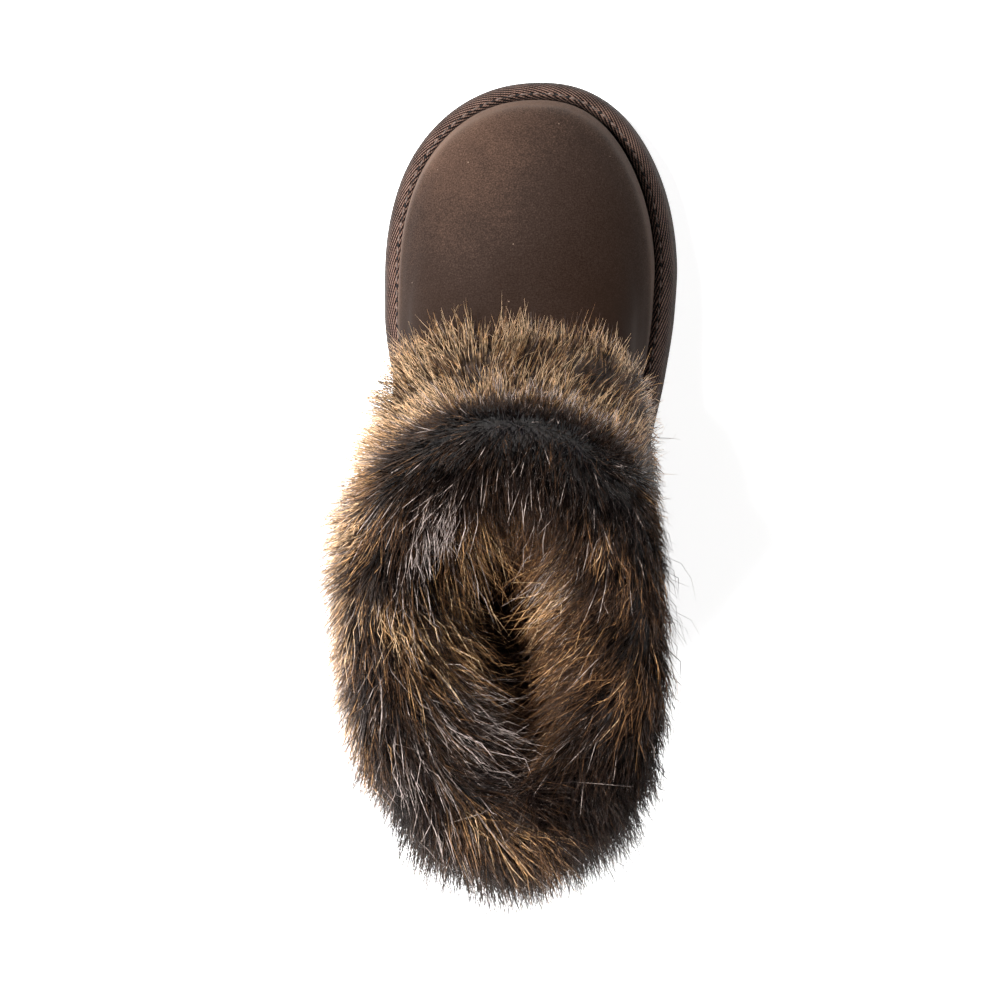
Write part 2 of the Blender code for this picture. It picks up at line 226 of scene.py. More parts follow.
# Unevenness: the width of its lumps in metres, and their height in mm.
LEATHER_LUMPS = ((0.034, 0.35), (0.012, 0.10))
UNDERFUR_LUMPS = ((0.009, 1.3), (0.003, 0.7))
FLEECE_LUMPS = ((0.004, 0.6),)
EDGE_REACH, EDGE_REACH_BELOW, EDGE_RUB_HIGHLIGHT = 0.9, 1.5, 0.85  # rows rubbed pale and given a painted highlight, and how much
FUR_SHADE, INNER_SHADE = 0.44, 0.28  # how much painted shade darkens the leather there
# Section of the footbed: how far in from its edge, and how far above the sole.
FOOTBED_EDGE = ((0.0, GAP), (0.0, 0.0024), (0.0006, 0.0040), (0.0020, INSOLE_THICKNESS))
FOOTBED_INSETS = (0.004, 0.0255, 10)  # of its flat top: first, last and how many
UNDERFUR_ROWS = 61
UNDERFUR_CLIMB = (1, -0.02, 14)  # down the shaft again: first, last and how many
UNDERFUR_LINING = ((9.97,), (10.3,), (10.65,), (COLLAR,))  # rows where it meets the lining

# How the pile lies. Rows go round the cuff by turn (0 in front, 90 outer side, 180 heel) and up
# its section by place. side, back and rise are the way the hair lies, along +X, +Y and +Z.
# lift is how far it stands off the skin at its root and droop how far its tip falls; length is
# in mm, and tone is its colour, from black (0) by brown (0.5) to gold (0.8) and bleached (1).
LAY_PLACES = (0.10, 0.55, 1.00, 1.35, 1.52, 1.75)
LAY = (
    # side, back, rise, lift, droop, length, tone
    ((0.0, -1.0, -0.1, 0.15, 0.1, 12, 0.76), (-0.15, -0.9, 0.1, 0.35, 0.0, 9, 0.85),
     (0.0, -0.5, 0.3, 0.5, 0.1, 7, 0.12), (0.15, 0.85, 0.2, 0.35, 0.25, 17, 0.06),
     (-0.2, 0.95, 0.1, 0.3, 0.4, 18, 0.10), (-0.25, 0.95, 0.1, 0.3, 0.5, 27, 0.28)),
    ((0.4, -0.85, -0.15, 0.25, 0.1, 12, 0.92), (0.55, -0.7, 0.1, 0.4, 0.0, 9, 0.95),
     (0.7, -0.1, 0.3, 0.45, 0.1, 8, 0.18), (0.3, 0.85, 0.15, 0.4, 0.25, 22, 0.08),
     (0.2, 0.95, 0.1, 0.35, 0.25, 22, 0.12), (-0.1, 0.95, 0.15, 0.3, 0.55, 33, 0.42)),
    ((0.85, -0.2, -0.3, 0.3, 0.2, 13, 1.10), (0.85, 0.0, 0.0, 0.5, 0.1, 14, 1.25),
     (0.75, 0.45, 0.1, 0.45, 0.1, 15, 0.70), (0.25, 0.92, 0.12, 0.35, 0.25, 18, 0.10),
     (0.15, 0.98, 0.1, 0.35, 0.3, 16, 0.36), (-0.25, 0.98, 0.15, 0.3, 0.55, 32, 0.55)),
    ((0.3, 0.3, -0.8, 0.2, 0.2, 14, 0.75), (0.45, 0.6, -0.45, 0.3, 0.2, 14, 0.95),
     (0.3, 0.9, -0.05, 0.3, 0.1, 16, 0.70), (0.1, 0.98, 0.2, 0.35, 0.2, 20, 0.46),
     (-0.2, 0.95, 0.15, 0.35, 0.3, 24, 0.58), (-0.7, 0.75, 0.12, 0.3, 0.4, 32, 0.44)),
    ((0.3, 0.5, -0.8, 0.25, 0.2, 15, 0.50), (0.40, 0.65, -0.45, 0.3, 0.2, 14, 0.60),
     (0.2, 0.9, -0.05, 0.3, 0.1, 16, 0.46), (-0.1, 0.98, 0.15, 0.35, 0.2, 24, 0.12),
     (-0.6, 0.75, 0.15, 0.35, 0.3, 30, 0.12), (-0.9, 0.45, 0.12, 0.3, 0.35, 33, 0.12)),
    ((0.2, 0.5, -0.85, 0.25, 0.2, 17, 0.24), (0.25, 0.8, -0.4, 0.3, 0.2, 16, 0.12),
     (0.15, 0.95, 0.0, 0.35, 0.1, 17, 0.10), (-0.3, 0.92, 0.1, 0.35, 0.2, 26, 0.12),
     (-0.65, 0.7, 0.1, 0.35, 0.3, 30, 0.12), (-0.9, 0.35, 0.1, 0.3, 0.3, 34, 0.12)),
    ((0.0, 0.45, -0.9, 0.25, 0.2, 19, 0.14), (0.0, 0.9, -0.4, 0.35, 0.2, 18, 0.06),
     (-0.2, 0.9, 0.0, 0.35, 0.1, 19, 0.06), (-0.75, 0.6, 0.05, 0.3, 0.2, 25, 0.26),
     (-0.85, 0.3, 0.0, 0.3, 0.3, 26, 0.10), (-0.9, 0.0, 0.0, 0.3, 0.3, 26, 0.06)),
    ((-0.1, 0.45, -0.9, 0.2, 0.2, 18, 0.12), (0.0, 0.88, -0.4, 0.3, 0.2, 17, 0.04),
     (-0.1, 0.95, 0.0, 0.3, 0.1, 18, 0.02), (-0.2, 0.8, 0.2, 0.35, 0.2, 22, 0.02),
     (0.0, 0.6, 0.2, 0.4, 0.3, 22, 0.03), (0.3, 0.4, 0.3, 0.4, 0.3, 20, 0.05)),
    ((-0.15, 0.4, -0.9, 0.15, 0.2, 15, 0.14), (-0.1, 0.8, -0.45, 0.2, 0.2, 14, 0.05),
     (0.0, 0.95, 0.05, 0.25, 0.1, 18, 0.03), (0.3, 0.85, 0.2, 0.3, 0.2, 22, 0.05),
     (0.4, 0.8, 0.1, 0.3, 0.3, 24, 0.14), (0.4, 0.8, 0.1, 0.3, 0.4, 26, 0.22)),
    ((-0.05, 0.35, -0.9, 0.1, 0.2, 12, 0.24), (0.0, 0.6, -0.6, 0.1, 0.2, 11, 0.22),
     (0.2, 0.9, 0.1, 0.25, 0.1, 18, 0.22), (0.65, 0.7, 0.15, 0.3, 0.2, 24, 0.26),
     (0.7, 0.65, 0.1, 0.3, 0.3, 25, 0.28), (0.65, 0.7, 0.1, 0.3, 0.4, 25, 0.30)),
    ((-0.1, -0.2, -0.7, 0.15, 0.1, 11, 0.46), (0.0, 0.1, -0.4, 0.2, 0.1, 10, 0.40),
     (0.2, 0.6, 0.3, 0.3, 0.1, 14, 0.20), (0.55, 0.75, 0.25, 0.3, 0.2, 20, 0.24),
     (0.6, 0.7, 0.1, 0.3, 0.4, 25, 0.28), (0.65, 0.7, 0.1, 0.3, 0.45, 27, 0.32)),
    ((-0.25, -0.85, -0.25, 0.15, 0.1, 12, 0.70), (-0.3, -0.8, 0.05, 0.25, 0.0, 8, 0.70),
     (-0.3, -0.2, 0.4, 0.4, 0.1, 8, 0.10), (0.05, 0.85, 0.2, 0.35, 0.25, 17, 0.06),
     (0.15, 0.9, 0.15, 0.3, 0.3, 20, 0.12), (0.2, 0.95, 0.15, 0.3, 0.5, 26, 0.28)),
)  # fmt: skip
# Where the dye is uneven: centre and reach of each patch, what it adds to the tone, and to the
# share of bleached hairs, which partly stand for painted glints.
BLEACH_GLINT = 0.024
PATCHES = (
    "turn place turn_reach place_reach tone frost",
    (2, 0.76, 30, 0.10, 0.10, 0.35),  # bleached band before the dark crest, a painted highlight where the hair bends over
    (330, 0.76, 16, 0.10, 0.05, 0.25),
    (0, -0.02, 60, 0.09, -0.40, -0.02),  # darker tips over the leather
    (14, 0.40, 6, 0.11, -0.95, 0.0),  # dark tufts in the golden front
    (356, 0.24, 4, 0.10, -0.75, 0.0),
    (331, 0.28, 6, 0.11, -0.75, 0.0),
    (44, 1.46, 24, 0.09, 0.0, 0.85),  # bleached tips over the outer side of the opening, a painted highlight where hair bends
    (52, 0.90, 14, 0.12, 0.10, 0.20),
    (95, 0.95, 30, 0.20, 0.0, 0.25),
    (78, 1.18, 4, 0.12, 0.30, 0.0),  # streaks down the outer side
    (70, 1.22, 3, 0.12, -0.30, 0.0),
    (74, 1.36, 3, 0.09, 0.30, 0.1),
    (84, 1.25, 4, 0.12, -0.30, 0.0),
    (92, 1.00, 6, 0.14, 0.25, 0.1),
    (99, 1.26, 7, 0.20, -0.55, 0.0),
    (76, 1.44, 9, 0.12, 0.16, 0.0),
    (98, 1.42, 3, 0.07, 0.34, 0.1),
    (106, 1.00, 7, 0.12, 0.30, 0.2),
    (108, 1.20, 3, 0.06, 0.30, 0.1),
    (130, 1.16, 12, 0.16, -0.36, 0.0),
    (128, 1.45, 26, 0.22, 0.0, 0.34),  # silvery locks: painted glints on dark hair
    (112, 1.68, 13, 0.14, 0.0, 0.38),
    (148, 1.42, 13, 0.06, 0.34, 0.0),  # brown sweep at the heel
    (166, 1.35, 12, 0.07, 0.27, 0.0),
    (186, 1.29, 10, 0.07, 0.22, 0.0),
    (298, 1.66, 12, 0.10, 0.30, 0.1),  # inner side
    (298, 1.44, 7, 0.09, -0.35, 0.0),
    (301, 1.34, 9, 0.09, 0.26, 0.1),
    (314, 1.16, 11, 0.12, -0.22, 0.0),
    (256, 1.20, 8, 0.14, 0.22, 0.0),
    (228, 1.68, 9, 0.10, 0.20, 0.0),
    (218, 0.95, 42, 0.55, 0.0, -0.024),  # none bleached there
    (256, 0.20, 40, 0.20, 0.26, 0.03),  # the hem is brown all round
)
SKIN_PILE = 0.62  # the matted underfur fills this share of the pile
ROOT_PILE = 0.58  # the hairs start this deep, inside the underfur

# Parts of the cuff: name, first and last turn in degrees, first and last place, rings of a hair,
# and how closely the hairs gather in clumps.
FUR_PARTS = (
    ("fur_front", -50, 50, 0.0, 1.45, 3, 0.4),
    ("fur_outer_side", 50, 125, 0.0, 1.45, 4, 0.5),
    ("fur_heel", 125, 235, 0.0, 1.45, 4, 0.65),
    ("fur_inner_side", 235, 310, 0.0, 1.45, 4, 0.5),
    ("fur_inside_outer", 0, 180, 1.45, 2.0, 5, 0.6),
    ("fur_inside_inner", 180, 360, 1.45, 2.0, 5, 0.6),
)
SKIN_TURN = 1.5  # degrees between the columns of the skin that hair grows on
SKIN_ROWS = 26  # rows of it to one unit of place
SKIN_STEP = 0.004  # how far off the points lie that give it its direction
SWIRLS = ((0, 0.021, 0.9), (1, 0.009, 0.35))  # shift and width in metres, and turn in radians
DENSITY_PLACES = (0, 0.2, 0.8, 1.1, 1.75, 2.0)
DENSITIES = (0.8, 0.75, 0.85, 1.15, 1.3, 0.3)  # shares of the usual density at those places
# Tones above the middle one are of bleached hair, partly painted glints, and nothing lies between
# the other two.
PALEST_DYED, BLEACHED_GLINT, DARKEST_BLEACHED_GLINT = 0.825, 0.845, 0.862
# How the hairs gather, stray and vary in tone.
GROWTH = {"lock": 0.3, "lock_tone": 0.35, "mottle": 0.35, "stray": 0.34, "wave": 0.11}
GROWTH |= {"tone_shift": 0.0, "tone_spread": 0.8}
GUARD_GROWTH = {"lock": 0.2, "lock_tone": 0.2, "mottle": 0.2, "stray": 0.6, "wave": 0.14}
GUARD_GROWTH |= {"tone_shift": 0.05, "tone_spread": 0.6, "rings": 5, "clump": 0.1}

# Lamps: name, place, size and share of the key light's power.
LAMPS = (
    ("key", (0.70, -0.35, 1.35), 0.28, 1.0),
    ("heel_light", (0.60, 0.95, 1.05), 0.28, 0.45),
    ("fill", (-0.95, -0.15, 1.30), 0.70, 0.09),
)
AIM_HEIGHT = 0.06  # of the point that the lamps face
SURROUND_FADES = (0.14, 0.40)  # the climb at which the surround starts to dim, and has dimmed
# The camera looks down from beside the toes, on the inner side, with the toe up.
CAMERA_PLACE = (-0.0525, 0.1559)  # from the sole's long axis, and from its toe
CAMERA_TURNS = (0.21, 4.45, 180)  # degrees about X, Y and Z
LENS = 71.3  # mm
FLOOR_CORNERS = ((-1, -1, 0), (1, -1, 0), (1, 1, 0), (-1, 1, 0))
FLOOR_REACH = 6  # from its middle to each side


# Curves and surfaces. Arguments may be arrays of any shape.


def read_table(table, column, at):
    """Values of one column between the rows of a table, on a cubic that stays within them."""
    k = table[0].split().index(column)
    keys = np.array([row[0] for row in table[1:]], float)
    values = np.array([row[k] for row in table[1:]], float)
    steps = np.diff(values) / np.diff(keys)
    same_way = steps[:-1] * steps[1:] > 0
    total = np.where(same_way, steps[:-1] + steps[1:], 1.0)
    inner = np.where(same_way, 2 * steps[:-1] * steps[1:] / total, 0.0)
    slopes = np.concatenate([steps[:1], inner, steps[-1:]])
    at = np.clip(at, keys[0], keys[-1])
    i = np.clip(np.searchsorted(keys, at, side="right") - 1, 0, len(keys) - 2)
    span = keys[i + 1] - keys[i]
    t = (at - keys[i]) / span
    start = values[i] * (2 * t**3 - 3 * t**2 + 1) + slopes[i] * span * (t**3 - 2 * t**2 + t)
    end = values[i + 1] * (3 * t**2 - 2 * t**3) + slopes[i + 1] * span * (t**3 - t**2)
    return start + end


def unit(vectors):
    return vectors / np.maximum(np.linalg.norm(vectors, axis=-1, keepdims=True), 1e-12)


def round_cap(distance, length, exponent):
    """Share of the full width that a superellipse leaves at a distance from its tip."""
    left = 1 - np.clip(distance, 0, length) / length
    return (1 - left**exponent) ** (1 / exponent)


def half_width(side, station):
    """The sole's width on one side of its axis: side 1 is the outer half, -1 the inner."""
    width = read_table(SOLE_SIDES, "outer" if side > 0 else "inner", station)
    width = width * round_cap(station, TOE_CAP, TOE_ROUND)
    return width * round_cap(SOLE_LENGTH - station, HEEL_CAP, HEEL_ROUND)


def half_outline(side, count):
    """Points of one side, from toe to heel at even distances."""
    station = SOLE_LENGTH * (1 - np.cos(np.linspace(0, math.pi, 1201))) / 2
    width = half_width(side, station)
    swing = TOE_SWING * np.clip(1 - station / TOE_SWING_END, 0, None) ** 2
    x, y = AXIS_X + side * width - swing, SOLE_LOW[1] + station
    along = np.concatenate([[0], np.cumsum(np.hypot(np.diff(x), np.diff(y)))])
    want = np.linspace(0, along[-1], count + 1)
    return np.stack([np.interp(want, along, x), np.interp(want, along, y)], 1)


OUTLINE_POINTS = 2048
OUTLINE_STEP = 8  # how many points off the two lie that give the outline its direction
OUTLINE = np.concatenate(
    [half_outline(1, OUTLINE_POINTS // 2), half_outline(-1, OUTLINE_POINTS // 2)[-2:0:-1]]
)
ALONG = np.roll(OUTLINE, -OUTLINE_STEP, 0) - np.roll(OUTLINE, OUTLINE_STEP, 0)
INWARD = unit(np.stack([-ALONG[:, 1], ALONG[:, 0]], 1))


def on_ring(values, share):
    """Values between the points of a ring, at shares of the way round it."""
    at = np.asarray(share) % 1 * len(values)
    i = at.astype(int)
    t = (at - i)[..., None]
    return values[i % len(values)] * (1 - t) + values[(i + 1) % len(values)] * t


def topside(y):
    return read_table(SOLE_HEIGHTS, "topside", y - SOLE_LOW[1])


def underside(y):
    return read_table(SOLE_HEIGHTS, "underside", y - SOLE_LOW[1])


def on_sole(share, inset, rise):
    """Points above the sole's top, an inset in from its outline."""
    share, inset, rise = np.broadcast_arrays(share, inset, rise)
    flat = on_ring(OUTLINE, share) + on_ring(INWARD, share) * inset[..., None]
    return np.concatenate([flat, (topside(flat[..., 1]) + rise)[..., None]], -1)


def upper_point(share, row):
    """Points of the upper's outer face."""
    share, row = np.broadcast_arrays(np.asarray(share, float), np.asarray(row, float))
    facing = np.cos(2 * math.pi * share)

    def value(column):
        return read_table(UPPER_SECTIONS, column, row)

    def from_side(side, front, back):
        return side + (np.where(facing > 0, front, back) - side) * facing**2

    inset = from_side(value("inset"), value("toe_inset"), value("inset"))
    low = on_ring(OUTLINE, share) + on_ring(INWARD, share) * inset[..., None]
    front, back = value("oval_front"), value("oval_back")
    across = AXIS_X + SHAFT_SHIFT + value("oval_half") * np.sin(2 * math.pi * share)
    behind = SOLE_LOW[1] + (front + back) / 2 - (back - front) / 2 * facing
    flat = low + (np.stack([across, behind], -1) - low) * value("morph")[..., None]
    height = from_side(value("side"), value("front"), value("back"))
    height = height + value("keep") * topside(low[..., 1])
    return np.concatenate([flat, height[..., None]], -1)


def off_upper(share, row, depth):
    """Points at a depth off the upper's outer face; a depth below zero is inside."""
    share, row, depth = np.broadcast_arrays(share, row, depth)
    around = upper_point(share + NORMAL_STEP, row) - upper_point(share - NORMAL_STEP, row)
    below = upper_point(share, np.maximum(row - ROW_STEP, 0))
    above = upper_point(share, np.minimum(row + ROW_STEP, COLLAR))
    return upper_point(share, row) + unit(np.cross(around, above - below)) * depth[..., None]


def hem_row(share):
    facing = np.cos(2 * math.pi * share)
    end = np.where(facing > 0, HEM_FRONT, HEM_BACK)
    return HEM_SIDE + (end - HEM_SIDE) * np.abs(facing) ** HEM_TURN


def fur_depth(share):
    degrees = np.asarray(share) % 1 * 360
    outer = read_table(FUR_DEPTH, "outer", np.minimum(degrees, 360 - degrees))
    inner = read_table(FUR_DEPTH, "inner", np.minimum(degrees, 360 - degrees))
    return np.where(degrees <= 180, outer, inner)


def cuff_point(share, place, pile):
    """Points in the cuff: pile is 0 at the leather and 1 on the face of the fur."""
    share, place = np.broadcast_arrays(np.asarray(share, float), np.asarray(place, float))

    def value(column):
        return read_table(CUFF_SECTION, column, place)

    row = hem_row(share) + (COLLAR - hem_row(share)) * value("climb") - value("drop")
    inside = value("wall") * WALL + value("inner") * FUR_INSIDE * pile
    points = off_upper(share, row, value("outer") * fur_depth(share) * pile - inside)
    points[..., 2] += value("lift") * FUR_TOP * pile
    return points


def speckle(points, size):
    """Smooth random values from -1 to 1, one for each point, with lumps of this size."""
    flat = points.reshape(-1, 3) / size
    return np.array([noise.noise(Vector(p)) for p in flat]).reshape(points.shape[:-1])


def lumps(points, layers):
    """Heights of layers of lumps, each given by their width and height."""
    return sum(speckle(points, size) * height * MM for size, height in layers)


def rows_of(spans):
    """The rows of some spans in order, with those that two spans share taken once."""
    return np.unique(np.concatenate([np.linspace(*span) for span in spans]))


# Meshes.


def new_mesh(name, points, edges=(), faces=()):
    mesh = bpy.data.meshes.new(name)
    mesh.from_pydata(np.reshape(points, (-1, 3)).tolist(), edges, faces)
    return mesh


def grid_mesh(name, rows, form="capped"):
    """A mesh of rows of points. An open one is a strip. In the others each row is a ring: a
    capped one has its first and last ring filled, and a wrapped one has them joined."""
    row_count, count = rows.shape[:2]
    r = np.arange(row_count - (form != "wrapped"))[:, None]
    i = np.arange(count - (form == "open"))
    after, beside = (r + 1) % row_count, (i + 1) % count
    corners = [r * count + i, r * count + beside, after * count + beside, after * count + i]
    faces = np.stack(corners, -1).reshape(-1, 4).tolist()
    for first in (0, (row_count - 1) * count) if form == "capped" else ():
        last, half = first + count - 1, count // 2
        faces += [[first, first + 1, last], [first + half, first + half + 1, first + half - 1]]
        faces += [[first + n, first + n + 1, last - n, last + 1 - n] for n in range(1, half - 1)]
    return new_mesh(name, rows, faces=faces)


def store(mesh, kind="FLOAT", **values):
    """Keeps a number, or a vector, for each point of a mesh."""
    for name, each in values.items():
        kept = mesh.attributes.new(name, kind, "POINT").data
        kept.foreach_set("value" if kind == "FLOAT" else "vector", np.float32(each).ravel())


def put(name, data, place=(0, 0, 0), turn=(0, 0, 0)):
    """Puts a mesh, a lamp or a camera in the scene as a new object."""
    made = bpy.data.objects.new(name, data)
    made.location, made.rotation_euler = place, turn
    bpy.context.scene.collection.objects.link(made)
    return made


def show(mesh, material=None, outward=True):
    """Puts a finished mesh in the scene, smooth, with its faces outward."""
    if outward:
        shell = bmesh.new()
        shell.from_mesh(mesh)
        bmesh.ops.recalc_face_normals(shell, faces=shell.faces)
        shell.to_mesh(mesh)
        shell.free()
    mesh.shade_smooth()
    if material:
        mesh.materials.append(material)
    return put(mesh.name, mesh)


def place_piece(piece, slot, *nodes):
    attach(piece, BODY)
    if nodes:
        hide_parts(*nodes)


# Nodes.


def linear(colour):
    """Linear RGBA from an sRGB hex colour or from a colour property's numbers."""
    if isinstance(colour, str):
        colour = [int(colour[n : n + 2], 16) / 255 for n in (1, 3, 5)]
    return (*(c / 12.92 if c <= 0.04045 else ((c + 0.055) / 1.055) ** 2.4 for c in colour), 1)


def fill(node, inputs):
    """Sets a node's inputs to values, or links nodes or sockets to them. They come in the
    sockets' order, or under their names or numbers."""
    for key, value in inputs.items() if isinstance(inputs, dict) else enumerate(inputs):
        if isinstance(value, bpy.types.Node):
            value = value.outputs[0]
        if isinstance(value, bpy.types.NodeSocket):
            node.id_data.links.new(value, node.inputs[key])
        else:
            node.inputs[key].default_value = value


def add(tree, kind, inputs=(), stops=(), **settings):
    """A new node. kind is its type without the family before it or, in capitals, a Math node's
    operation, and a Vector Math node's after the word VECTOR. stops are a ramp's colours."""
    if kind.isupper():
        *vector, settings["operation"] = kind.split()
        kind = "VectorMath" if vector else "Math"
    families = ("ShaderNode", "GeometryNode", "FunctionNode", "")
    node = tree.nodes.new(next(name + kind for name in families if hasattr(bpy.types, name + kind)))
    for key, value in settings.items():
        setattr(node, key, value)
    fill(node, inputs)
    for n, (place, colour) in enumerate(stops):
        elements = node.color_ramp.elements
        element = elements[n] if n < len(elements) else elements.new(place)
        element.position, element.color = place, linear(colour)
    return node


def spaced(place, spacing, **more):
    """Inputs of a texture whose marks lie this many millimetres apart."""
    return {"Vector": place, "Scale": 1 / (spacing * MM), **more}


def plain(name, **values):
    """A material with these constant values on its Principled shader."""
    made = bpy.data.materials.new(name)
    made.use_nodes = True
    shader = made.node_tree.nodes["Principled BSDF"]
    fill(shader, {key.replace("_", " "): value for key, value in values.items()})
    return made


def patterned(name, **values):
    """A material, what adds its nodes, and the object coordinates that its pattern lies on."""
    made = plain(name, **values)
    node = partial(add, made.node_tree)
    return made, node, node("TexCoord").outputs["Object"]


def dressed(made, colour, height=None, strength=1.0, depth=1.0, **more):
    """The material, given its colour and relief: its height, strength and depth in mm."""
    more["Base Color"] = colour
    if height:
        relief = {"Height": height, "Strength": strength, "Distance": depth * MM}
        more["Normal"] = add(made.node_tree, "Bump", relief)
    fill(made.node_tree.nodes["Principled BSDF"], more)
    return made


# Materials.


def tpr_rubber():
    """Moulded thermoplastic rubber: matt dark brown, with the fine pebble of a blasted mould."""
    made, node, place = patterned(
        "tpr_rubber_moulded", Roughness=0.7, IOR=1.5, Specular_IOR_Level=0.25
    )
    pebble = node("TexVoronoi", spaced(place, 0.9))
    scuff = node("TexNoise", spaced(place, 11, Detail=5))
    colour = node("ValToRGB", (scuff,), ((0.3, "#1e1510"), (0.62, "#2e2119"), (0.8, "#41312a")))
    return dressed(made, colour, pebble, 0.4, 0.15)


def polyester_twill(settings):
    """Woven polyester tape: slanting ribs with a painted highlight on their crests, and dark
    between the threads, partly painted shade.
    """
    made, node, place = patterned(
        "polyester_twill_woven", Roughness=0.62, IOR=1.5, Specular_IOR_Level=0.05
    )
    along, across, _ = node("SeparateXYZ", (node("UVMap", uv_map="tape_place"),)).outputs
    # Along the tape both patterns close on themselves, so they take whole turns.
    waves = []
    for round_tape, over_tape in ((-settings.rib_count, 0.92), (settings.rib_count * 2, 0.75)):
        per_pitch = 2 * math.pi / (settings.rib_pitch * over_tape)
        turns = node("MULTIPLY", (along, round_tape * 2 * math.pi))
        turns = node("MULTIPLY_ADD", (across, per_pitch, turns))
        waves.append(node("MapRange", (node("SINE", (turns,)), -1.0, 1.0)))
    ribs, threads = waves
    height = node("MULTIPLY_ADD", (threads, 0.45, ribs))
    patch = node("TexNoise", spaced(place, 8.3, Detail=3))
    fray = node("TexNoise", spaced(place, 0.71, Detail=2))
    uneven = node("MULTIPLY_ADD", (patch, 0.55, -0.37))
    fuzz = node("MULTIPLY_ADD", (fray, 0.5, uneven))
    # Painted highlight and shade: the colour follows the height of the weave, light on the crests.
    tone = node("MULTIPLY_ADD", (height, 0.76, fuzz))
    stops = (0.25, "#050303"), (0.55, "#17100d"), (0.85, "#402f28"), (1.0, "#785e53")
    # Painted shade: it is darker towards the sole, against the light off the floor, and in the seam
    # against the leather, a painted shadow with some dirt.
    painted_shade = node("MapRange", (across, 12.5 * MM, 17 * MM, 1.0, 0.55))
    seam_shadow = node("MapRange", (across, 9.7 * MM, 10.6 * MM, 0.3, 1.0))
    painted_shade = node("MULTIPLY", (painted_shade, seam_shadow))
    shaded_weave = node("VECTOR SCALE", {0: node("ValToRGB", (tone,), stops), "Scale": painted_shade})
    return dressed(made, shaded_weave, height, 0.8, 0.25)


def bonded_thread():
    """Bonded polyester thread: plied, with a slight shine."""
    made, node, place = patterned("polyester_thread_bonded", Roughness=0.5, IOR=1.5)
    fibre = node("TexNoise", spaced(place, 0.67, Detail=3))
    colour = node("ValToRGB", (fibre,), ((0.3, "#33261f"), (0.6, "#5c4940"), (0.8, "#8d776b")))
    return dressed(made, colour, fibre, 0.5, 0.1)


def waxed_nubuck(settings):
    """Waxed nubuck: cattle leather buffed and oiled, so it is matt and cloudy, with a short nap,
    fine pores, and paler brown where it is pulled over the edge or rubbed, with a painted
    highlight there; it has painted shade towards the fur and on the inner side."""
    made, node, place = patterned(
        "nubuck_leather_waxed",
        IOR=1.4,
        Specular_IOR_Level=0.03,
        Sheen_Weight=0.005,
        Sheen_Roughness=0.45,
        Sheen_Tint=linear("#d8b8a0"),
    )
    cloud = node("TexNoise", spaced(place, 38, Detail=4, Roughness=0.62))
    # Grain of 0.5 mm, with nap between, as small as still shows.
    grain = node("TexNoise", spaced(place, 0.5, Detail=3, Roughness=0.6))
    pores = node("TexVoronoi", spaced(place, 1.1))
    dust = node("TexVoronoi", spaced(place, 9))
    rim = node("Attribute", attribute_name="rim").outputs["Fac"]
    shade = node("Attribute", attribute_name="shade").outputs["Fac"]
    fine = node("MULTIPLY_ADD", (grain, 0.7, -0.35))
    tone = node("ADD", (node("MULTIPLY_ADD", (cloud, 0.46, 0.42)), fine))
    shaded = node("SUBTRACT", (tone, shade))
    middle = (0.38, settings.leather_dark), (0.66, settings.leather)
    body = node("ValToRGB", (shaded,), ((0.05, "#231812"), *middle, (1.0, "#5d493c")))
    speckles = node("MULTIPLY_ADD", (grain, 1.2, 0.4))
    body = node("VECTOR SCALE", {0: body, "Scale": speckles})
    # Painted highlight with rubbing: the rim is paler, broken up by grain and clouds.
    patchy_rub_highlight = node("MULTIPLY_ADD", (grain, 0.9, node("MULTIPLY_ADD", (cloud, 1.6, -1.3))))
    edge = node("MULTIPLY", (node("MULTIPLY_ADD", (patchy_rub_highlight, 1.0, rim)), rim), use_clamp=True)
    rubbed_and_highlit = node("Mix", {0: edge, 6: body, 7: linear(settings.rim)}, data_type="RGBA")
    speck = node("MapRange", (dust, 0.03, 0.02))
    colours = {0: speck, 6: rubbed_and_highlit.outputs[2], 7: linear("#7d6a5b")}
    colour = node("Mix", colours, data_type="RGBA").outputs[2]
    rough = node("MapRange", (cloud, 0.3, 0.7, 0.62, 0.74))
    relief = node("MULTIPLY_ADD", (pores, 0.5, grain))
    return dressed(made, colour, relief, 0.35, 0.12, Roughness=rough)


def wool_fleece():
    """Cropped wool fleece: soft brown curls with no shine."""
    made, node, place = patterned("wool_fleece_cropped", Roughness=0.95, Sheen_Weight=0.4)
    curls = node("TexNoise", spaced(place, 2.5, Detail=4, Distortion=1.5))
    colour = node("ValToRGB", (curls,), ((0.3, "#2c1f19"), (0.55, "#4d392e"), (0.75, "#6f5646")))
    return dressed(made, colour, curls, 0.9, 1.2)


def matted_underfur():
    """The dense underfur at the foot of the hairs, in fine tufts: nearly black, partly as painted
    shade deep in the pile, or brown where the hair over it is golden."""
    made, node, place = patterned("underfur_dyed", Roughness=0.9)
    tufts = node("TexNoise", spaced(place, 1.6, Detail=4, Distortion=0.8))
    dark = node("ValToRGB", (tufts,), ((0.35, "#080505"), (0.6, "#120c09"), (0.85, "#20160f")))
    brown = node("ValToRGB", (tufts,), ((0.35, "#2a1c13"), (0.6, "#4f3a29"), (0.85, "#755a42")))
    tone = node("Attribute", attribute_name="tone").outputs["Fac"]
    share = node("MapRange", (tone, 0.35, 1.1))
    colour = node("Mix", {0: share, 6: dark, 7: brown}, data_type="RGBA").outputs[2]
    return dressed(made, colour, tufts, 1.0, 0.8)


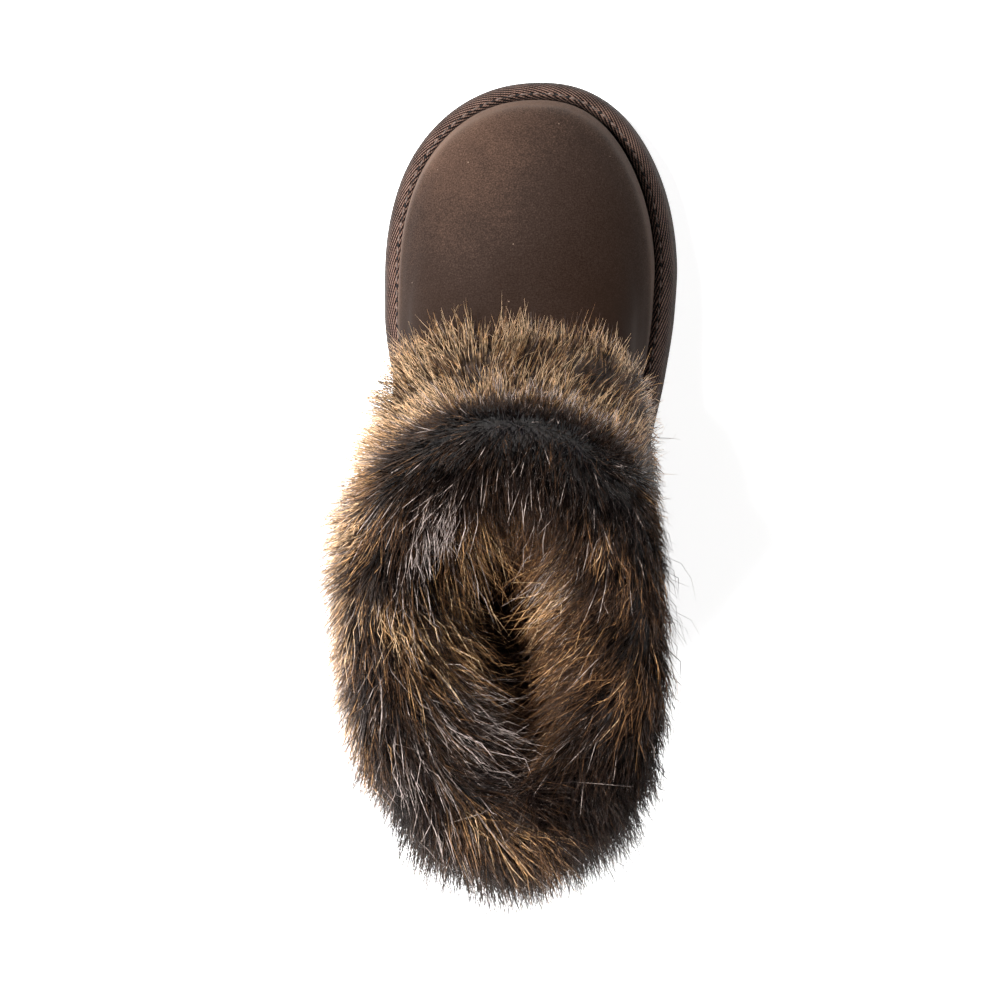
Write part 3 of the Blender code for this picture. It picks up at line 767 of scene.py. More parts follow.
def dyed_guard_hair(settings):
    """Long dyed guard hair: each is a smooth keratin cylinder, so it carries a bright line of
    light; the dye runs from near black by brown to gold, and the tips are bleached, partly as
    painted glints; the roots are darker, partly as painted shade deep in the pile."""
    made, node, place = patterned(
        "guard_hair_dyed",
        Roughness=0.28,
        IOR=1.55,
        Specular_IOR_Level=0.2,
        Specular_Tint=linear("#fff0e8"),
    )
    along, tone, _ = node("SeparateXYZ", (node("UVMap", uv_map="OFBake"),)).outputs
    # The roots are darker than the tips, as in tipped fur, and darker still as painted shade.
    roots = (0.0, "#060404"), (0.3, "#0f0a08"), (0.6, "#1f1610"), (0.82, "#4a3829")
    roots += (0.86, "#1d1614"), (1.0, "#4a3f3a")
    tips = (0.0, settings.black), (0.3, "#3a281b"), (0.55, settings.brown), (0.8, settings.gold)
    tips += (0.83, "#e2c29c"), (0.86, "#a09088"), (0.92, "#cbbab2"), (1.0, settings.pale)
    bleached_glint = node("GREATER_THAN", (tone, BLEACHED_GLINT))
    first = node("MULTIPLY_ADD", (bleached_glint, 0.25, 0.15))
    rise = node("MapRange", (along, first, 0.85), interpolation_type="SMOOTHSTEP")
    colours = {0: rise, 6: node("ValToRGB", (tone,), roots), 7: node("ValToRGB", (tone,), tips)}
    colour = node("Mix", colours, data_type="RGBA").outputs[2]
    # Painted glints: along each hair the colour goes lighter and darker every 1.5 mm or so, as if
    # a kink turned it into the light or away from it.
    glint_noise = node("TexNoise", spaced(place, 1.5, Detail=1))
    light = node("MapRange", (glint_noise, 0.36, 0.64, 0.45, 1.6))
    return dressed(made, node("VECTOR SCALE", {0: colour, "Scale": light}))


def studio_floor():
    """A sheet of matt white card."""
    glow = {"Emission_Color": linear("#ffffff"), "Emission_Strength": 0.75}
    return plain("studio_card", Roughness=0.9, Base_Color=linear("#f6f6f6"), **glow)


# Geometry Nodes trees.


def new_tree(name, **sockets):
    """A tree with a mesh input and the named inputs of each kind, and what adds its nodes."""
    tree = bpy.data.node_groups.new(name, "GeometryNodeTree")
    tree.interface.new_socket("Geometry", in_out="OUTPUT", socket_type="NodeSocketGeometry")
    for kind, labels in {"Geometry": ("Geometry",), **sockets}.items():
        for label in labels:
            tree.interface.new_socket(label, in_out="INPUT", socket_type="NodeSocket" + kind)
    node = partial(add, tree)
    return tree, node, node("NodeGroupInput").outputs


def baked(piece, name):
    """What a piece's modifiers make of it, as a new piece; the old one is removed."""
    piece.update_tag()
    bpy.context.view_layer.update()
    ready = piece.evaluated_get(bpy.context.evaluated_depsgraph_get())
    mesh = bpy.data.meshes.new_from_object(ready)
    mesh.name = name
    if not mesh.polygons:
        raise RuntimeError(f"{name} came out empty")
    bpy.data.objects.remove(piece, do_unlink=True)
    return put(name, mesh)


def applied(piece, tree, name, **values):
    """What the tree makes of a piece, as a new piece that keeps only what a finished mesh needs."""
    modifier = piece.modifiers.new(tree.name, "NODES")
    modifier.node_group = tree
    for item in tree.interface.items_tree:
        key = item.name.lower().replace(" ", "_")
        if item.in_out == "INPUT" and key in values:
            modifier[item.identifier] = values[key]
    made = baked(piece, name)
    attributes = made.data.attributes
    for kept in [a.name for a in attributes if a.domain != "CORNER" and not a.is_internal]:
        if kept not in ("position", "material_index", "sharp_face"):
            attributes.remove(attributes[kept])
    return made


def stitch_tree():
    """Lays a stitch on each point marked thread, and a needle hole on each marked hole."""
    tree, node, given = new_tree(
        "tape_stitches",
        Float=("Stitch Length", "Thread Radius", "Hole Radius"),
        Material=("Thread Material", "Hole Material"),
    )
    half = node("MULTIPLY", (given["Stitch Length"], 0.5))
    under = node("MULTIPLY", (given["Thread Radius"], -1.6))
    over = node("MULTIPLY", (given["Thread Radius"], 2.3))
    start = node("CombineXYZ", {0: node("MULTIPLY", (half, -1.0)), 2: under})
    end = node("CombineXYZ", {0: half, 2: under})
    points = {"Start": start, "Middle": node("CombineXYZ", {2: over}), "End": end}
    arch = node("CurveQuadraticBezier", {"Resolution": 6, **points})
    ring = node("CurvePrimitiveCircle", {"Resolution": 6, "Radius": given["Thread Radius"]})
    thread = node("CurveToMesh", {"Curve": arch, "Profile Curve": ring, "Fill Caps": True})
    hole = node("MeshUVSphere", {"Segments": 8, "Rings": 4, "Radius": given["Hole Radius"]})
    hole = node("Transform", {"Geometry": hole, "Scale": (1.5, 0.7, 0.35)})

    line = node("MeshToCurve", {"Mesh": given["Geometry"]})
    turned = node("AlignRotationToVector", {"Vector": node("InputTangent")}, axis="X")
    upright = {"Rotation": turned, "Vector": (0, 0, 1)}
    upright = node("AlignRotationToVector", upright, axis="Z", pivot_axis="X")
    both = node("JoinGeometry")
    for mark, shape in (("Thread", thread), ("Hole", hole)):
        shape = node("SetMaterial", {"Geometry": shape, "Material": given[mark + " Material"]})
        here = node("InputNamedAttribute", {"Name": mark.lower()}, data_type="FLOAT")
        chosen = node("Compare", (here, 0.5), operation="GREATER_THAN")
        laid = {"Points": line, "Selection": chosen, "Instance": shape, "Rotation": upright}
        fill(both, (node("InstanceOnPoints", laid),))
    smooth = node("SetShadeSmooth", {"Geometry": both})
    node("NodeGroupOutput", (node("RealizeInstances", {"Geometry": smooth}),))
    return tree


def hair_tree():
    """Grows a tapered hair on random points of a skin, along the lay stored on it."""
    sizes = ("Density", "Thickness", "Length Scale", "Clump Size", "Clump", "Lock Size", "Lock")
    chances = ("Lock Tone", "Stray", "Wave", "Tone Shift", "Tone Spread", "Mottle")
    tree, node, given = new_tree(
        "hair_strands",
        Float=sizes + chances,
        Int=("Seed", "Rings"),
        Vector=("Farthest",),
        Material=("Material",),
    )
    numbers = "density lift droop hair_length tone frost chance along around"
    kinds = dict.fromkeys(numbers.split(), "FLOAT")
    kinds |= dict.fromkeys("lay root start finish gather sway".split(), "FLOAT_VECTOR")
    kept = {
        name: node("InputNamedAttribute", {"Name": name}, data_type=kind)
        for name, kind in kinds.items()
    }

    # Roots, and what each hair keeps from its root.
    thick = node("MULTIPLY", (given["Density"], kept["density"]))
    inputs = {"Mesh": given["Geometry"], "Density": thick, "Seed": given["Seed"]}
    points = node("DistributePointsOnFaces", inputs)
    place = node("InputPosition")
    stray = node("RandomValue", {0: (-1, -1, -1), "Seed": 11}, data_type="FLOAT_VECTOR")
    luck = node("RandomValue", {"Seed": 12}, data_type="FLOAT_VECTOR")
    luck = node("SeparateXYZ", (luck,)).outputs
    # Hairs gather in fine clumps, and those in locks that differ in tone, length and lift.
    pulls = []
    for group in ("Clump", "Lock"):
        scale = node("DIVIDE", (1.0, given[group + " Size"]))
        cells = node("TexVoronoi", {"Vector": place, "Scale": scale})
        away = node("VECTOR SUBTRACT", (cells.outputs["Position"], place))
        pulls.append(node("VECTOR SCALE", {0: away, "Scale": given[group]}))
    gather = node("VECTOR ADD", pulls)
    lock = node("SeparateXYZ", (cells.outputs["Color"],)).outputs
    length = node("MULTIPLY", (kept["hair_length"], given["Length Scale"]))
    for chance, more, least in ((luck[0], 0.6, 0.64), (lock[2], 0.6, 0.66)):
        length = node("MULTIPLY", (length, node("MULTIPLY_ADD", (chance, more, least))))
    lift = node("MULTIPLY", (node("ADD", (lock[1], 0.5)), kept["lift"]))
    upward = node("VECTOR SCALE", {0: points.outputs["Normal"], "Scale": lift})
    downward = node("CombineXYZ", {2: node("MULTIPLY", (kept["droop"], -1.0))})
    astray = node("VECTOR SCALE", {0: stray, "Scale": given["Stray"]})
    lay = node("VECTOR ADD", (kept["lay"], astray))
    ways = []
    for bend in (upward, downward):
        way = node("VECTOR NORMALIZE", (node("VECTOR ADD", (lay, bend)),))
        ways.append(node("VECTOR SCALE", {0: way, "Scale": length}))
    width = node("MULTIPLY", (length, given["Wave"]))
    sway = node("VECTOR SCALE", {0: stray, "Scale": width})
    # Light and dark hairs stand side by side, and a few are much lighter than the rest.
    mottle = node("MapRange", (node("TexNoise", spaced(place, 7.7, Detail=2)), 0.3, 0.7))
    tone = node("ADD", (kept["tone"], given["Tone Shift"]))
    for chance, spread in ((luck[1], "Tone Spread"), (lock[0], "Lock Tone"), (mottle, "Mottle")):
        swing = node("MULTIPLY_ADD", (chance, 2.0, -1.0))
        tone = node("MULTIPLY", (tone, node("MULTIPLY_ADD", (swing, given[spread], 1.0))))
    fleck = node("POWER", (luck[2], 9.0))
    tone = node("MINIMUM", (node("MULTIPLY_ADD", (fleck, 0.36, tone)), PALEST_DYED))
    # Single bleached hairs, partly painted glints, are dimmer than those of a silvery lock.
    palest = node("MINIMUM", (node("MULTIPLY_ADD", (kept["frost"], 0.25, 0.025)), 0.12))
    bleached_glint = node("MULTIPLY_ADD", (luck[1], palest, DARKEST_BLEACHED_GLINT))
    bleach_glinted = node("LESS_THAN", (luck[2], kept["frost"]))
    tone = node("MAXIMUM", (node("MULTIPLY", (bleached_glint, bleach_glinted)), tone))
    tone = node("Clamp", (tone, 0.02, 0.985))
    keep = {"root": place, "start": ways[0], "finish": ways[1], "gather": gather, "sway": sway}
    for name, value in {**keep, "chance": luck[0], "tone": tone}.items():
        inputs = {"Geometry": points, "Name": name, "Value": value}
        points = node("StoreNamedAttribute", inputs, data_type=kinds[name])

    # One straight line for each root, bent along the lay.
    line = {"Curve": node("CurvePrimitiveLine"), "Count": given["Rings"]}
    hairs = {"Points": points, "Instance": node("ResampleCurve", line)}
    hairs = node("RealizeInstances", (node("InstanceOnPoints", hairs),))
    t = node("SplineParameter")
    squared = node("MULTIPLY", (t, t))
    late = node("MULTIPLY", (squared, 0.5))
    early = node("SUBTRACT", (t, late))
    phase = node("MULTIPLY", (kept["chance"], 31.0))
    ripple = node("SINE", (node("MULTIPLY_ADD", (t, 7.5, phase)),))
    ripple = node("MULTIPLY", (ripple, t))
    moved = kept["root"]
    for name, share in {"start": early, "finish": late, "gather": squared, "sway": ripple}.items():
        moved = node("VECTOR ADD", (moved, node("VECTOR SCALE", {0: kept[name], "Scale": share})))
    moved = node("VECTOR MINIMUM", (moved, given["Farthest"]))
    hairs = node("SetPosition", {"Geometry": hairs, "Position": moved})
    inputs = {"Geometry": hairs, "Name": "along", "Value": t}
    hairs = node("StoreNamedAttribute", inputs, data_type="FLOAT")

    # Three-sided hairs that taper to a point.
    taper = node("MULTIPLY_ADD", (node("POWER", (t, 2.2)), -0.86, 1.0))
    radius = node("MULTIPLY", (node("MULTIPLY", (given["Thickness"], 0.5)), taper))
    ring = node("CurvePrimitiveCircle", {"Resolution": 3, "Radius": 1.0})
    inputs = {"Geometry": ring, "Name": "around", "Value": t}
    ring = node("StoreNamedAttribute", inputs, data_type="FLOAT")
    sweep = {"Curve": hairs, "Profile Curve": ring, "Scale": radius, "Fill Caps": True}
    mesh = node("CurveToMesh", sweep)
    # Its UV map holds how far along the hair a corner lies, and the hair's tone.
    v = node("ADD", (node("MULTIPLY_ADD", (kept["around"], 0.01, -0.005)), kept["tone"]))
    spot = node("CombineXYZ", (kept["along"], v))
    inputs = {"Geometry": mesh, "Name": "OFBake", "Value": spot}
    mesh = node("StoreNamedAttribute", inputs, data_type="FLOAT2", domain="CORNER")
    mesh = node("SetShadeSmooth", {"Geometry": mesh})
    mesh = node("RealizeInstances", {"Geometry": mesh})
    mesh = node("SetMaterial", {"Geometry": mesh, "Material": given["Material"]})
    node("NodeGroupOutput", (mesh,))
    return tree


# What a user may change.


def length_field(name, description, default):
    return FloatProperty(name=name, description=description, default=default, unit="LENGTH")


def colour_field(name, description, *default):
    return FloatVectorProperty(
        name=name, description=description, default=default, subtype="COLOR_GAMMA"
    )


class SoleSettings(PropertyGroup):
    cut_width: length_field("Cut width", "Width of the wavy cuts", 0.9 * MM)
    cut_depth: length_field("Cut depth", "Depth of the wavy cuts", 1.0 * MM)
    swing: length_field("Swing", "How far each wave swings", 1.1 * MM)
    wave: length_field("Wave", "Length of a wave", 11 * MM)
    margin: length_field("Margin", "Plain rubber at the edge", 7 * MM)


class TapeSettings(PropertyGroup):
    rib_count: IntProperty(
        name="Ribs", description="Ribs of the twill round the whole tape", default=210, min=1
    )
    rib_pitch: length_field("Rib pitch", "Distance between ribs across the tape", 1.35 * MM)
    stitches: IntProperty(
        name="Stitches", description="Stitches round the whole tape", default=124, min=8
    )
    stitch_length: length_field("Stitch length", "Length of thread that shows", 3.3 * MM)
    thread: length_field("Thread", "Diameter of the thread", 0.75 * MM)


class LeatherSettings(PropertyGroup):
    leather: colour_field("Leather", "Main colour of the leather", 0.280, 0.212, 0.176)
    leather_dark: colour_field("Dark leather", "Its darker clouds", 0.172, 0.133, 0.114)
    # Paler leather over the edge: rubbing and a painted highlight.
    rim: colour_field("Rim", "Where it is stretched over the edge", 0.42, 0.335, 0.283)


class FurSettings(PropertyGroup):
    density: FloatProperty(
        name="Density", description="Hairs to a square metre", default=858000, min=0
    )
    thickness: length_field("Thickness", "Width of a hair at its root", 0.30 * MM)
    length: FloatProperty(
        name="Length", description="Share of the pile's full length", default=1.0, min=0.1
    )
    clump_size: length_field("Clumps", "Width of a clump of hairs", 2.6 * MM)
    lock_size: length_field("Locks", "Width of a lock of clumps", 8.0 * MM)
    seed: IntProperty(name="Seed", description="Changes where the hairs grow", default=7)
    black: colour_field("Black", "Darkest hair", 0.046, 0.032, 0.032)
    brown: colour_field("Brown", "Middle hair", 0.47, 0.335, 0.22)
    gold: colour_field("Gold", "Light hair", 0.84, 0.65, 0.44)
    # Bleached hair, which partly stands for painted glints.
    pale: colour_field("Pale", "Bleached hair", 0.90, 0.83, 0.81)


class StageSettings(PropertyGroup):
    key: FloatProperty(
        name="Key light", description="Power of the large soft light", default=52, unit="POWER"
    )
    sky: FloatProperty(
        name="Surround", description="Brightness of the white surround overhead", default=0.07
    )
    horizon: FloatProperty(
        name="Horizon", description="Its brightness behind the boot", default=0.80
    )
    height: length_field("Camera height", "Height over the floor", 0.85)
    zoom: FloatProperty(name="Zoom", description="Size in the picture", default=1.15, min=0.1)


GROUPS = (
    ("boot_sole", SoleSettings, "Tread"),
    ("boot_tape", TapeSettings, "Tape and stitches"),
    ("boot_leather", LeatherSettings, "Leather"),
    ("boot_fur", FurSettings, "Fur"),
    ("boot_stage", StageSettings, "Stage"),
)


# Pieces.


def add_bar(shell, x, y, width, ceiling):
    """Adds to a shell a closed bar that follows these points, with its top at the ceiling."""
    corners = ((-0.5, 0), (0.5, 0), (0.5, 1), (-0.5, 1))
    sides = [(x, y + width * off, ceiling - CUTTER_HEIGHT * drop) for off, drop in corners]
    mesh = grid_mesh("bar", np.array(sides).transpose(2, 0, 1))
    shell.from_mesh(mesh)
    bpy.data.meshes.remove(mesh)


class BOOT_OT_sole(Operator):
    """Makes the moulded rubber sole with its tread"""

    bl_idname = "boot.sole"
    bl_label = "Sole"

    def execute(self, context):
        settings = context.scene.boot_sole
        share = np.arange(SOLE_COLUMNS) / SOLE_COLUMNS
        rings = []
        for inset, rise in LOWER_EDGE:
            ring = on_sole(share, inset, 0.0)
            ring[:, 2] = underside(ring[:, 1]) + rise
            rings.append(ring)
        rings += [on_sole(share, inset, -drop) for inset, drop in UPPER_EDGE]
        sole = show(grid_mesh("sole_blank", np.array(rings)))
        bars = bmesh.new()
        for first, grooves in PADS:
            for n in range(grooves):
                y = SOLE_LOW[1] + first + GROOVE_PITCH * n + np.zeros(2)
                x = AXIS_X + np.array([-2, 2]) * BALL_OUTER
                add_bar(bars, x, y, GROOVE_WIDTH, underside(y) + GROOVE_DEPTH)
            for n in range(grooves - 1):
                station = first + GROOVE_PITCH * (n + 0.5)
                inner, outer = (half_width(side, station) - settings.margin for side in (-1, 1))
                x = np.linspace(-inner, outer, CUT_POINTS)
                swing = np.sin(x / settings.wave * 2 * math.pi) * settings.swing
                y = SOLE_LOW[1] + station + swing
                ceiling = underside(y) + settings.cut_depth
                add_bar(bars, AXIS_X + x, y, settings.cut_width, ceiling)
        mesh = bpy.data.meshes.new("tread_cutter")
        bars.to_mesh(mesh)
        bars.free()
        cutter = show(mesh)
        cut = sole.modifiers.new("tread", "BOOLEAN")
        cut.operation, cut.solver, cut.object = "DIFFERENCE", "EXACT", cutter
        made = baked(sole, "moulded_sole")
        bpy.data.objects.remove(cutter, do_unlink=True)
        made.data.shade_smooth()
        made.data.set_sharp_from_angle(angle=math.radians(SHARP_DEGREES))
        made.data.materials.append(tpr_rubber())
        place_piece(made, "outsole", "outsole")
        return {"FINISHED"}


class BOOT_OT_tape(Operator):
    """Makes the folded twill tape round the edge of the sole"""

    bl_idname = "boot.tape"
    bl_label = "Edge tape"

    def execute(self, context):
        settings = context.scene.boot_tape
        count = settings.stitches * COLUMNS_PER_STITCH
        along = np.arange(count + 1) / count
        # The tape is drawn in at each needle hole, half-way between two stitches.
        pull = np.clip(-np.cos(2 * math.pi * along[:-1] * settings.stitches), 0, None) * PULL
        rings = []
        for n, (inset, rise) in enumerate(TAPE_SECTION):
            height = TAPE_HEIGHT * rise - pull * math.exp(-(((n - STITCH_ROW) / PULL_REACH) ** 2))
            rings.append(on_sole(along[:-1], SOLE_EDGE + TAPE_WIDTH * inset, height))
        section = np.array([*TAPE_SECTION, TAPE_SECTION[0]]) * (TAPE_WIDTH, TAPE_HEIGHT)
        steps = np.linalg.norm(np.diff(section, axis=0), axis=1)
        across = np.concatenate([[0], np.cumsum(steps)])
        mesh = grid_mesh("twill_tape", np.array(rings), "wrapped")
        # The weave follows the tape: a share of the way round it, and metres across.
        r, i = np.indices((len(rings), count))
        places = [(along[i + u], across[r + v]) for u, v in ((0, 0), (1, 0), (1, 1), (0, 1))]
        places = np.float32(places).transpose(2, 3, 0, 1).ravel()
        mesh.uv_layers.new(name="tape_place").uv.foreach_set("vector", places)
        place_piece(show(mesh, polyester_twill(settings)), "tape", "edge_tape")
        return {"FINISHED"}


class BOOT_OT_stitches(Operator):
    """Sews the tape down with a row of stitches"""

    bl_idname = "boot.stitches"
    bl_label = "Stitches"

    def execute(self, context):
        settings = context.scene.boot_tape
        point = np.arange(settings.stitches * COLUMNS_PER_STITCH)
        count = len(point)
        inset, rise = TAPE_SECTION[STITCH_ROW]
        line = on_sole(point / count, SOLE_EDGE + TAPE_WIDTH * inset, TAPE_HEIGHT * rise)
        mesh = new_mesh("stitch_line", line, edges=[(n, (n + 1) % count) for n in range(count)])
        stage = point % COLUMNS_PER_STITCH
        store(mesh, thread=stage == 0, hole=stage == COLUMNS_PER_STITCH // 2)
        made = applied(
            show(mesh, outward=False),
            stitch_tree(),
            "tape_stitches",
            stitch_length=settings.stitch_length,
            thread_radius=settings.thread / 2,
            hole_radius=settings.thread * 0.75,
            thread_material=bonded_thread(),
            # The needle holes are near black: painted shade for their depth.
            hole_material=plain("needle_hole", Roughness=0.9, Base_Color=linear("#100b0a")),
        )
        place_piece(made, "tape")
        return {"FINISHED"}


class BOOT_OT_upper(Operator):
    """Makes the leather upper with its fleece lining"""

    bl_idname = "boot.upper"
    bl_label = "Leather upper"

    def execute(self, context):
        share = np.arange(UPPER_COLUMNS) / UPPER_COLUMNS
        rows = rows_of(UPPER_SPANS)
        outer = off_upper(share, rows[:, None], 0.0)
        inner = off_upper(share, rows_of(LINING_SPANS)[:, None], -WALL)
        inner[0, :, 2] = outer[0, :, 2]
        # Soft unevenness, as in any stuffed leather, fading out at the tape and under the fur.
        fade = np.clip((rows - 1.5) / 2, 0, 1) * np.clip(9 - rows, 0, 1)
        swell = lumps(outer, LEATHER_LUMPS) * fade[:, None]
        outer = off_upper(share, rows[:, None], swell)
        rings = np.concatenate([outer, inner[::-1]])
        # Painted highlight with rubbing: the leather is paler where it rolls over the edge, most on
        # the side of the light.
        lit_side = 0.62 + 0.38 * np.clip(np.sin(2 * math.pi * share) + 0.2, -1, 1)
        off = rows[:, None] - EDGE_ROW
        off = off / np.where(off > 0, EDGE_REACH, EDGE_REACH_BELOW)
        rim = np.zeros(rings.shape[:2])
        rim[: len(rows)] = np.exp(-(off**2)) * lit_side * EDGE_RUB_HIGHLIGHT
        # Painted shade: it is darker towards the fur and on the inner side.
        shade = np.clip((rings[..., 1] - SOLE_LOW[1] - 0.02) / 0.08, 0, 1) * FUR_SHADE
        shade = shade + np.clip((AXIS_X + 0.03 - rings[..., 0]) / 0.06, 0, 1) * INNER_SHADE
        mesh = grid_mesh("leather_upper", rings, "wrapped")
        store(mesh, rim=rim, shade=shade)
        upper = show(mesh, waxed_nubuck(context.scene.boot_leather))
        mesh.materials.append(wool_fleece())
        slots = np.zeros(len(mesh.polygons), np.int32)
        slots[len(outer) * UPPER_COLUMNS : -UPPER_COLUMNS] = 1
        mesh.polygons.foreach_set("material_index", slots)
        place_piece(upper, "leather", "upper")
        return {"FINISHED"}


class BOOT_OT_footbed(Operator):
    """Makes the fleece-covered footbed"""

    bl_idname = "boot.footbed"
    bl_label = "Footbed"

    def execute(self, context):
        share = np.arange(FOOTBED_COLUMNS) / FOOTBED_COLUMNS
        # It lies just inside the foot of the upper, whose outer face starts this far in.
        edge = UPPER_SECTIONS[1][3] + WALL + 2 * GAP
        top = [(inset, INSOLE_THICKNESS) for inset in np.linspace(*FOOTBED_INSETS)]
        section = [*FOOTBED_EDGE, *top]
        rings = np.array([on_sole(share, edge + inset, rise) for inset, rise in section])
        rings[3:, :, 2] += np.minimum(lumps(rings[3:], FLEECE_LUMPS), 0)
        footbed = show(grid_mesh("footbed", rings), wool_fleece())
        place_piece(footbed, "fleece", "insole")
        return {"FINISHED"}


class BOOT_OT_underfur(Operator):
    """Makes the matted underfur that the hairs grow out of"""

    bl_idname = "boot.underfur"
    bl_label = "Underfur"

    def execute(self, context):
        share = np.arange(UNDERFUR_COLUMNS) / UNDERFUR_COLUMNS
        places = np.linspace(0, 2, UNDERFUR_ROWS)[:, None]
        face = cuff_point(share, places, SKIN_PILE)
        tufts = lumps(face, UNDERFUR_LUMPS)[..., None]
        out = cuff_point(share, places, SKIN_PILE + 0.05) - face
        face = face + unit(out + 1e-9) * tufts
        # It ends against the lining and the shaft, a hair's breadth off.
        climb = np.linspace(*UNDERFUR_CLIMB)[:, None]
        shaft = off_upper(share, hem_row(share) + (COLLAR - hem_row(share)) * climb, GAP)
        lining = off_upper(share, np.array(UNDERFUR_LINING), -WALL - GAP)
        over = np.stack([lining[-1], shaft[0]]) + (0, 0, GAP)
        rings = np.concatenate([face, lining, over, shaft])
        tone = np.zeros(rings.shape[:2])
        tone[: len(face)] = lay_at(*np.broadcast_arrays(share, places))[..., 6]
        mesh = grid_mesh("underfur", rings, "wrapped")
        store(mesh, tone=tone)
        place_piece(show(mesh, matted_underfur()), "fur", "fur_cuff")
        return {"FINISHED"}


def lay_at(share, place):
    """The lay of the pile, smooth all round: the columns of LAY, then the share of bleached hairs,
    partly painted glints.
    """
    table, places = np.array(LAY, float), np.array(LAY_PLACES)
    turn = (share % 1) * len(LAY)
    i = turn.astype(int) % len(LAY)
    j = np.clip(np.searchsorted(places, place, side="right") - 1, 0, len(places) - 2)
    a = turn - turn.astype(int)
    b = np.clip((place - places[j]) / (places[j + 1] - places[j]), 0, 1)
    a, b = ((t * t * (3 - 2 * t))[..., None] for t in (a, b))
    after = (i + 1) % len(LAY)
    near, far = (table[i, k] * (1 - a) + table[after, k] * a for k in (j, j + 1))
    found = near * (1 - b) + far * b
    found = np.concatenate([found, np.full_like(found[..., :1], BLEACH_GLINT)], -1)
    for centre, level, turn_reach, place_reach, *change in PATCHES[1:]:
        off = (share * 360 - centre + 180) % 360 - 180
        near = np.exp(-((off / turn_reach) ** 2) - ((place - level) / place_reach) ** 2)
        found[..., -2:] += near[..., None] * change
    return found


def hair_skin(name, first_turn, last_turn, first_place, last_place):
    """An open strip of skin with the lay, length, tone and density of its hair on it."""
    columns = round((last_turn - first_turn) / SKIN_TURN)
    shares = np.linspace(first_turn, last_turn, columns + 1) / 360
    rows = round((last_place - first_place) * SKIN_ROWS)
    share, place = np.meshgrid(shares, np.linspace(first_place, last_place, rows + 1))
    points = cuff_point(share, place, ROOT_PILE)
    # The skin's own direction, from points a little way round and up.
    steps = ((SKIN_STEP, 0), (-SKIN_STEP, 0), (0, SKIN_STEP), (0, -SKIN_STEP))
    right, left, above, below = (
        cuff_point(share + aside, np.clip(place + up, 0, 2), ROOT_PILE) for aside, up in steps
    )
    normal = unit(np.cross(right - left, above - below))
    found = lay_at(share, place)
    lay = unit(found[..., :3])
    # Swirls: the lay turns about the skin's own direction by up to some 40 degrees.
    swirl = sum(speckle(points + shift, wide)[..., None] * turn for shift, wide, turn in SWIRLS)
    lay = lay * np.cos(swirl) + np.cross(normal, lay) * np.sin(swirl)
    into = np.minimum((lay * normal).sum(-1, keepdims=True), 0)
    lay = unit(lay - normal * into * 0.85)
    mesh = grid_mesh(name + "_skin", points, "open")
    lift, droop, length, tone, frost = np.moveaxis(found[..., 3:], -1, 0)
    store(mesh, lift=lift, droop=droop, hair_length=length * MM, tone=tone, frost=frost)
    store(mesh, density=np.interp(place, DENSITY_PLACES, DENSITIES))
    store(mesh, "FLOAT_VECTOR", lay=lay)
    return mesh


class BOOT_OT_fur(Operator):
    """Grows the long hair of the cuff, part by part"""

    bl_idname = "boot.fur"
    bl_label = "Fur"

    def execute(self, context):
        settings = context.scene.boot_fur
        common = {"farthest": FARTHEST, "material": dyed_guard_hair(settings)}
        common |= {"clump_size": settings.clump_size, "lock_size": settings.lock_size}
        tree = hair_tree()

        # Here thick, long and wide are shares of what the settings say.
        def grow(name, strip, seed, growth, thick=1.0, long=1.0, wide=1.0, **values):
            values |= {"density": settings.density * thick, "length_scale": settings.length * long}
            values |= {"thickness": settings.thickness * wide, "seed": settings.seed + seed}
            skin = show(hair_skin(name, *strip), outward=False)
            place_piece(applied(skin, tree, name, **common, **growth, **values), "fur")

        for n, (name, *strip, rings, clump) in enumerate(FUR_PARTS):
            grow(name, strip, n, GROWTH, rings=rings, clump=clump)
        strip = (-180, 180, 0.0, 1.9)
        grow("guard_hairs", strip, 20, GUARD_GROWTH, thick=0.04, long=1.22, wide=0.6)
        return {"FINISHED"}


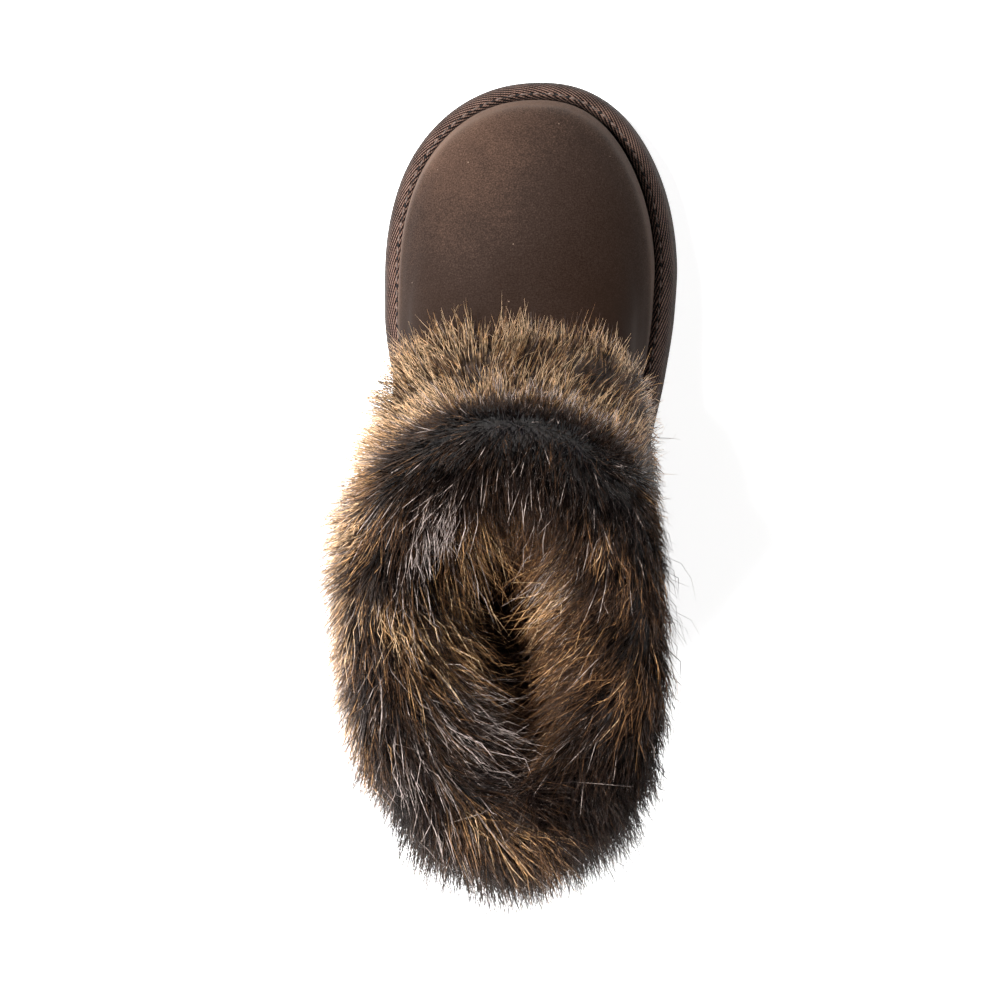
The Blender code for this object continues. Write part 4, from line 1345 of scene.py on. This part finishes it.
class BOOT_OT_stage(Operator):
    """Sets the floor, the soft lights and the camera"""

    bl_idname = "boot.stage"
    bl_label = "Stage"

    def execute(self, context):
        settings, scene = context.scene.boot_stage, context.scene
        mesh = new_mesh("floor", np.multiply(FLOOR_CORNERS, FLOOR_REACH), faces=[(0, 1, 2, 3)])
        floor = show(mesh, studio_floor(), outward=False)
        world = bpy.data.worlds.new("surround")
        world.use_nodes = True
        node = partial(add, world.node_tree)
        # The surround is as pale as the floor where they meet, and dim overhead.
        climb = node("SeparateXYZ", (node("TexCoord").outputs["Generated"],)).outputs["Z"]
        fade = (climb, *SURROUND_FADES, settings.horizon, settings.sky)
        fade = node("MapRange", fade, interpolation_type="SMOOTHSTEP")
        fill(world.node_tree.nodes["Background"], {"Color": (1, 1, 1, 1), "Strength": fade})
        scene.world = world
        scene.view_settings.view_transform = "Standard"
        aim = Vector((AXIS_X, 0, AIM_HEIGHT))
        for name, place, width, share in LAMPS:
            light = bpy.data.lights.new(name, "AREA")
            light.energy, light.size = settings.key * share, width
            put(name, light, place, (aim - Vector(place)).to_track_quat("-Z", "Y").to_euler())
        lens = bpy.data.cameras.new("camera")
        lens.sensor_width = 36
        lens.lens = LENS * settings.zoom
        place = (AXIS_X + CAMERA_PLACE[0], SOLE_LOW[1] + CAMERA_PLACE[1], settings.height)
        scene.camera = put("camera", lens, place, [math.radians(turn) for turn in CAMERA_TURNS])
        return {"FINISHED"}


OPERATORS = (
    BOOT_OT_sole,
    BOOT_OT_tape,
    BOOT_OT_stitches,
    BOOT_OT_upper,
    BOOT_OT_footbed,
    BOOT_OT_underfur,
    BOOT_OT_fur,
    BOOT_OT_stage,
)


class BOOT_PT_panel(Panel):
    bl_label = "Fur-cuffed boot"
    bl_space_type = "VIEW_3D"
    bl_region_type = "UI"
    bl_category = "Boot"

    def draw(self, context):
        for operator in OPERATORS:
            self.layout.operator(operator.bl_idname)
        for key, group, label in GROUPS:
            box = self.layout.box()
            box.label(text=label)
            for field in group.__annotations__:
                box.prop(getattr(context.scene, key), field)


def register():
    for key, group, _ in GROUPS:
        bpy.utils.register_class(group)
        setattr(bpy.types.Scene, key, PointerProperty(type=group))
    for kind in (*OPERATORS, BOOT_PT_panel):
        bpy.utils.register_class(kind)


def unregister():
    for kind in (BOOT_PT_panel, *OPERATORS[::-1]):
        bpy.utils.unregister_class(kind)
    for key, group, _ in GROUPS[::-1]:
        delattr(bpy.types.Scene, key)
        bpy.utils.unregister_class(group)


def main():
    register()
    for operator in OPERATORS:
        getattr(bpy.ops.boot, operator.bl_idname.split(".")[1])()


if __name__ == "__main__":
    main()
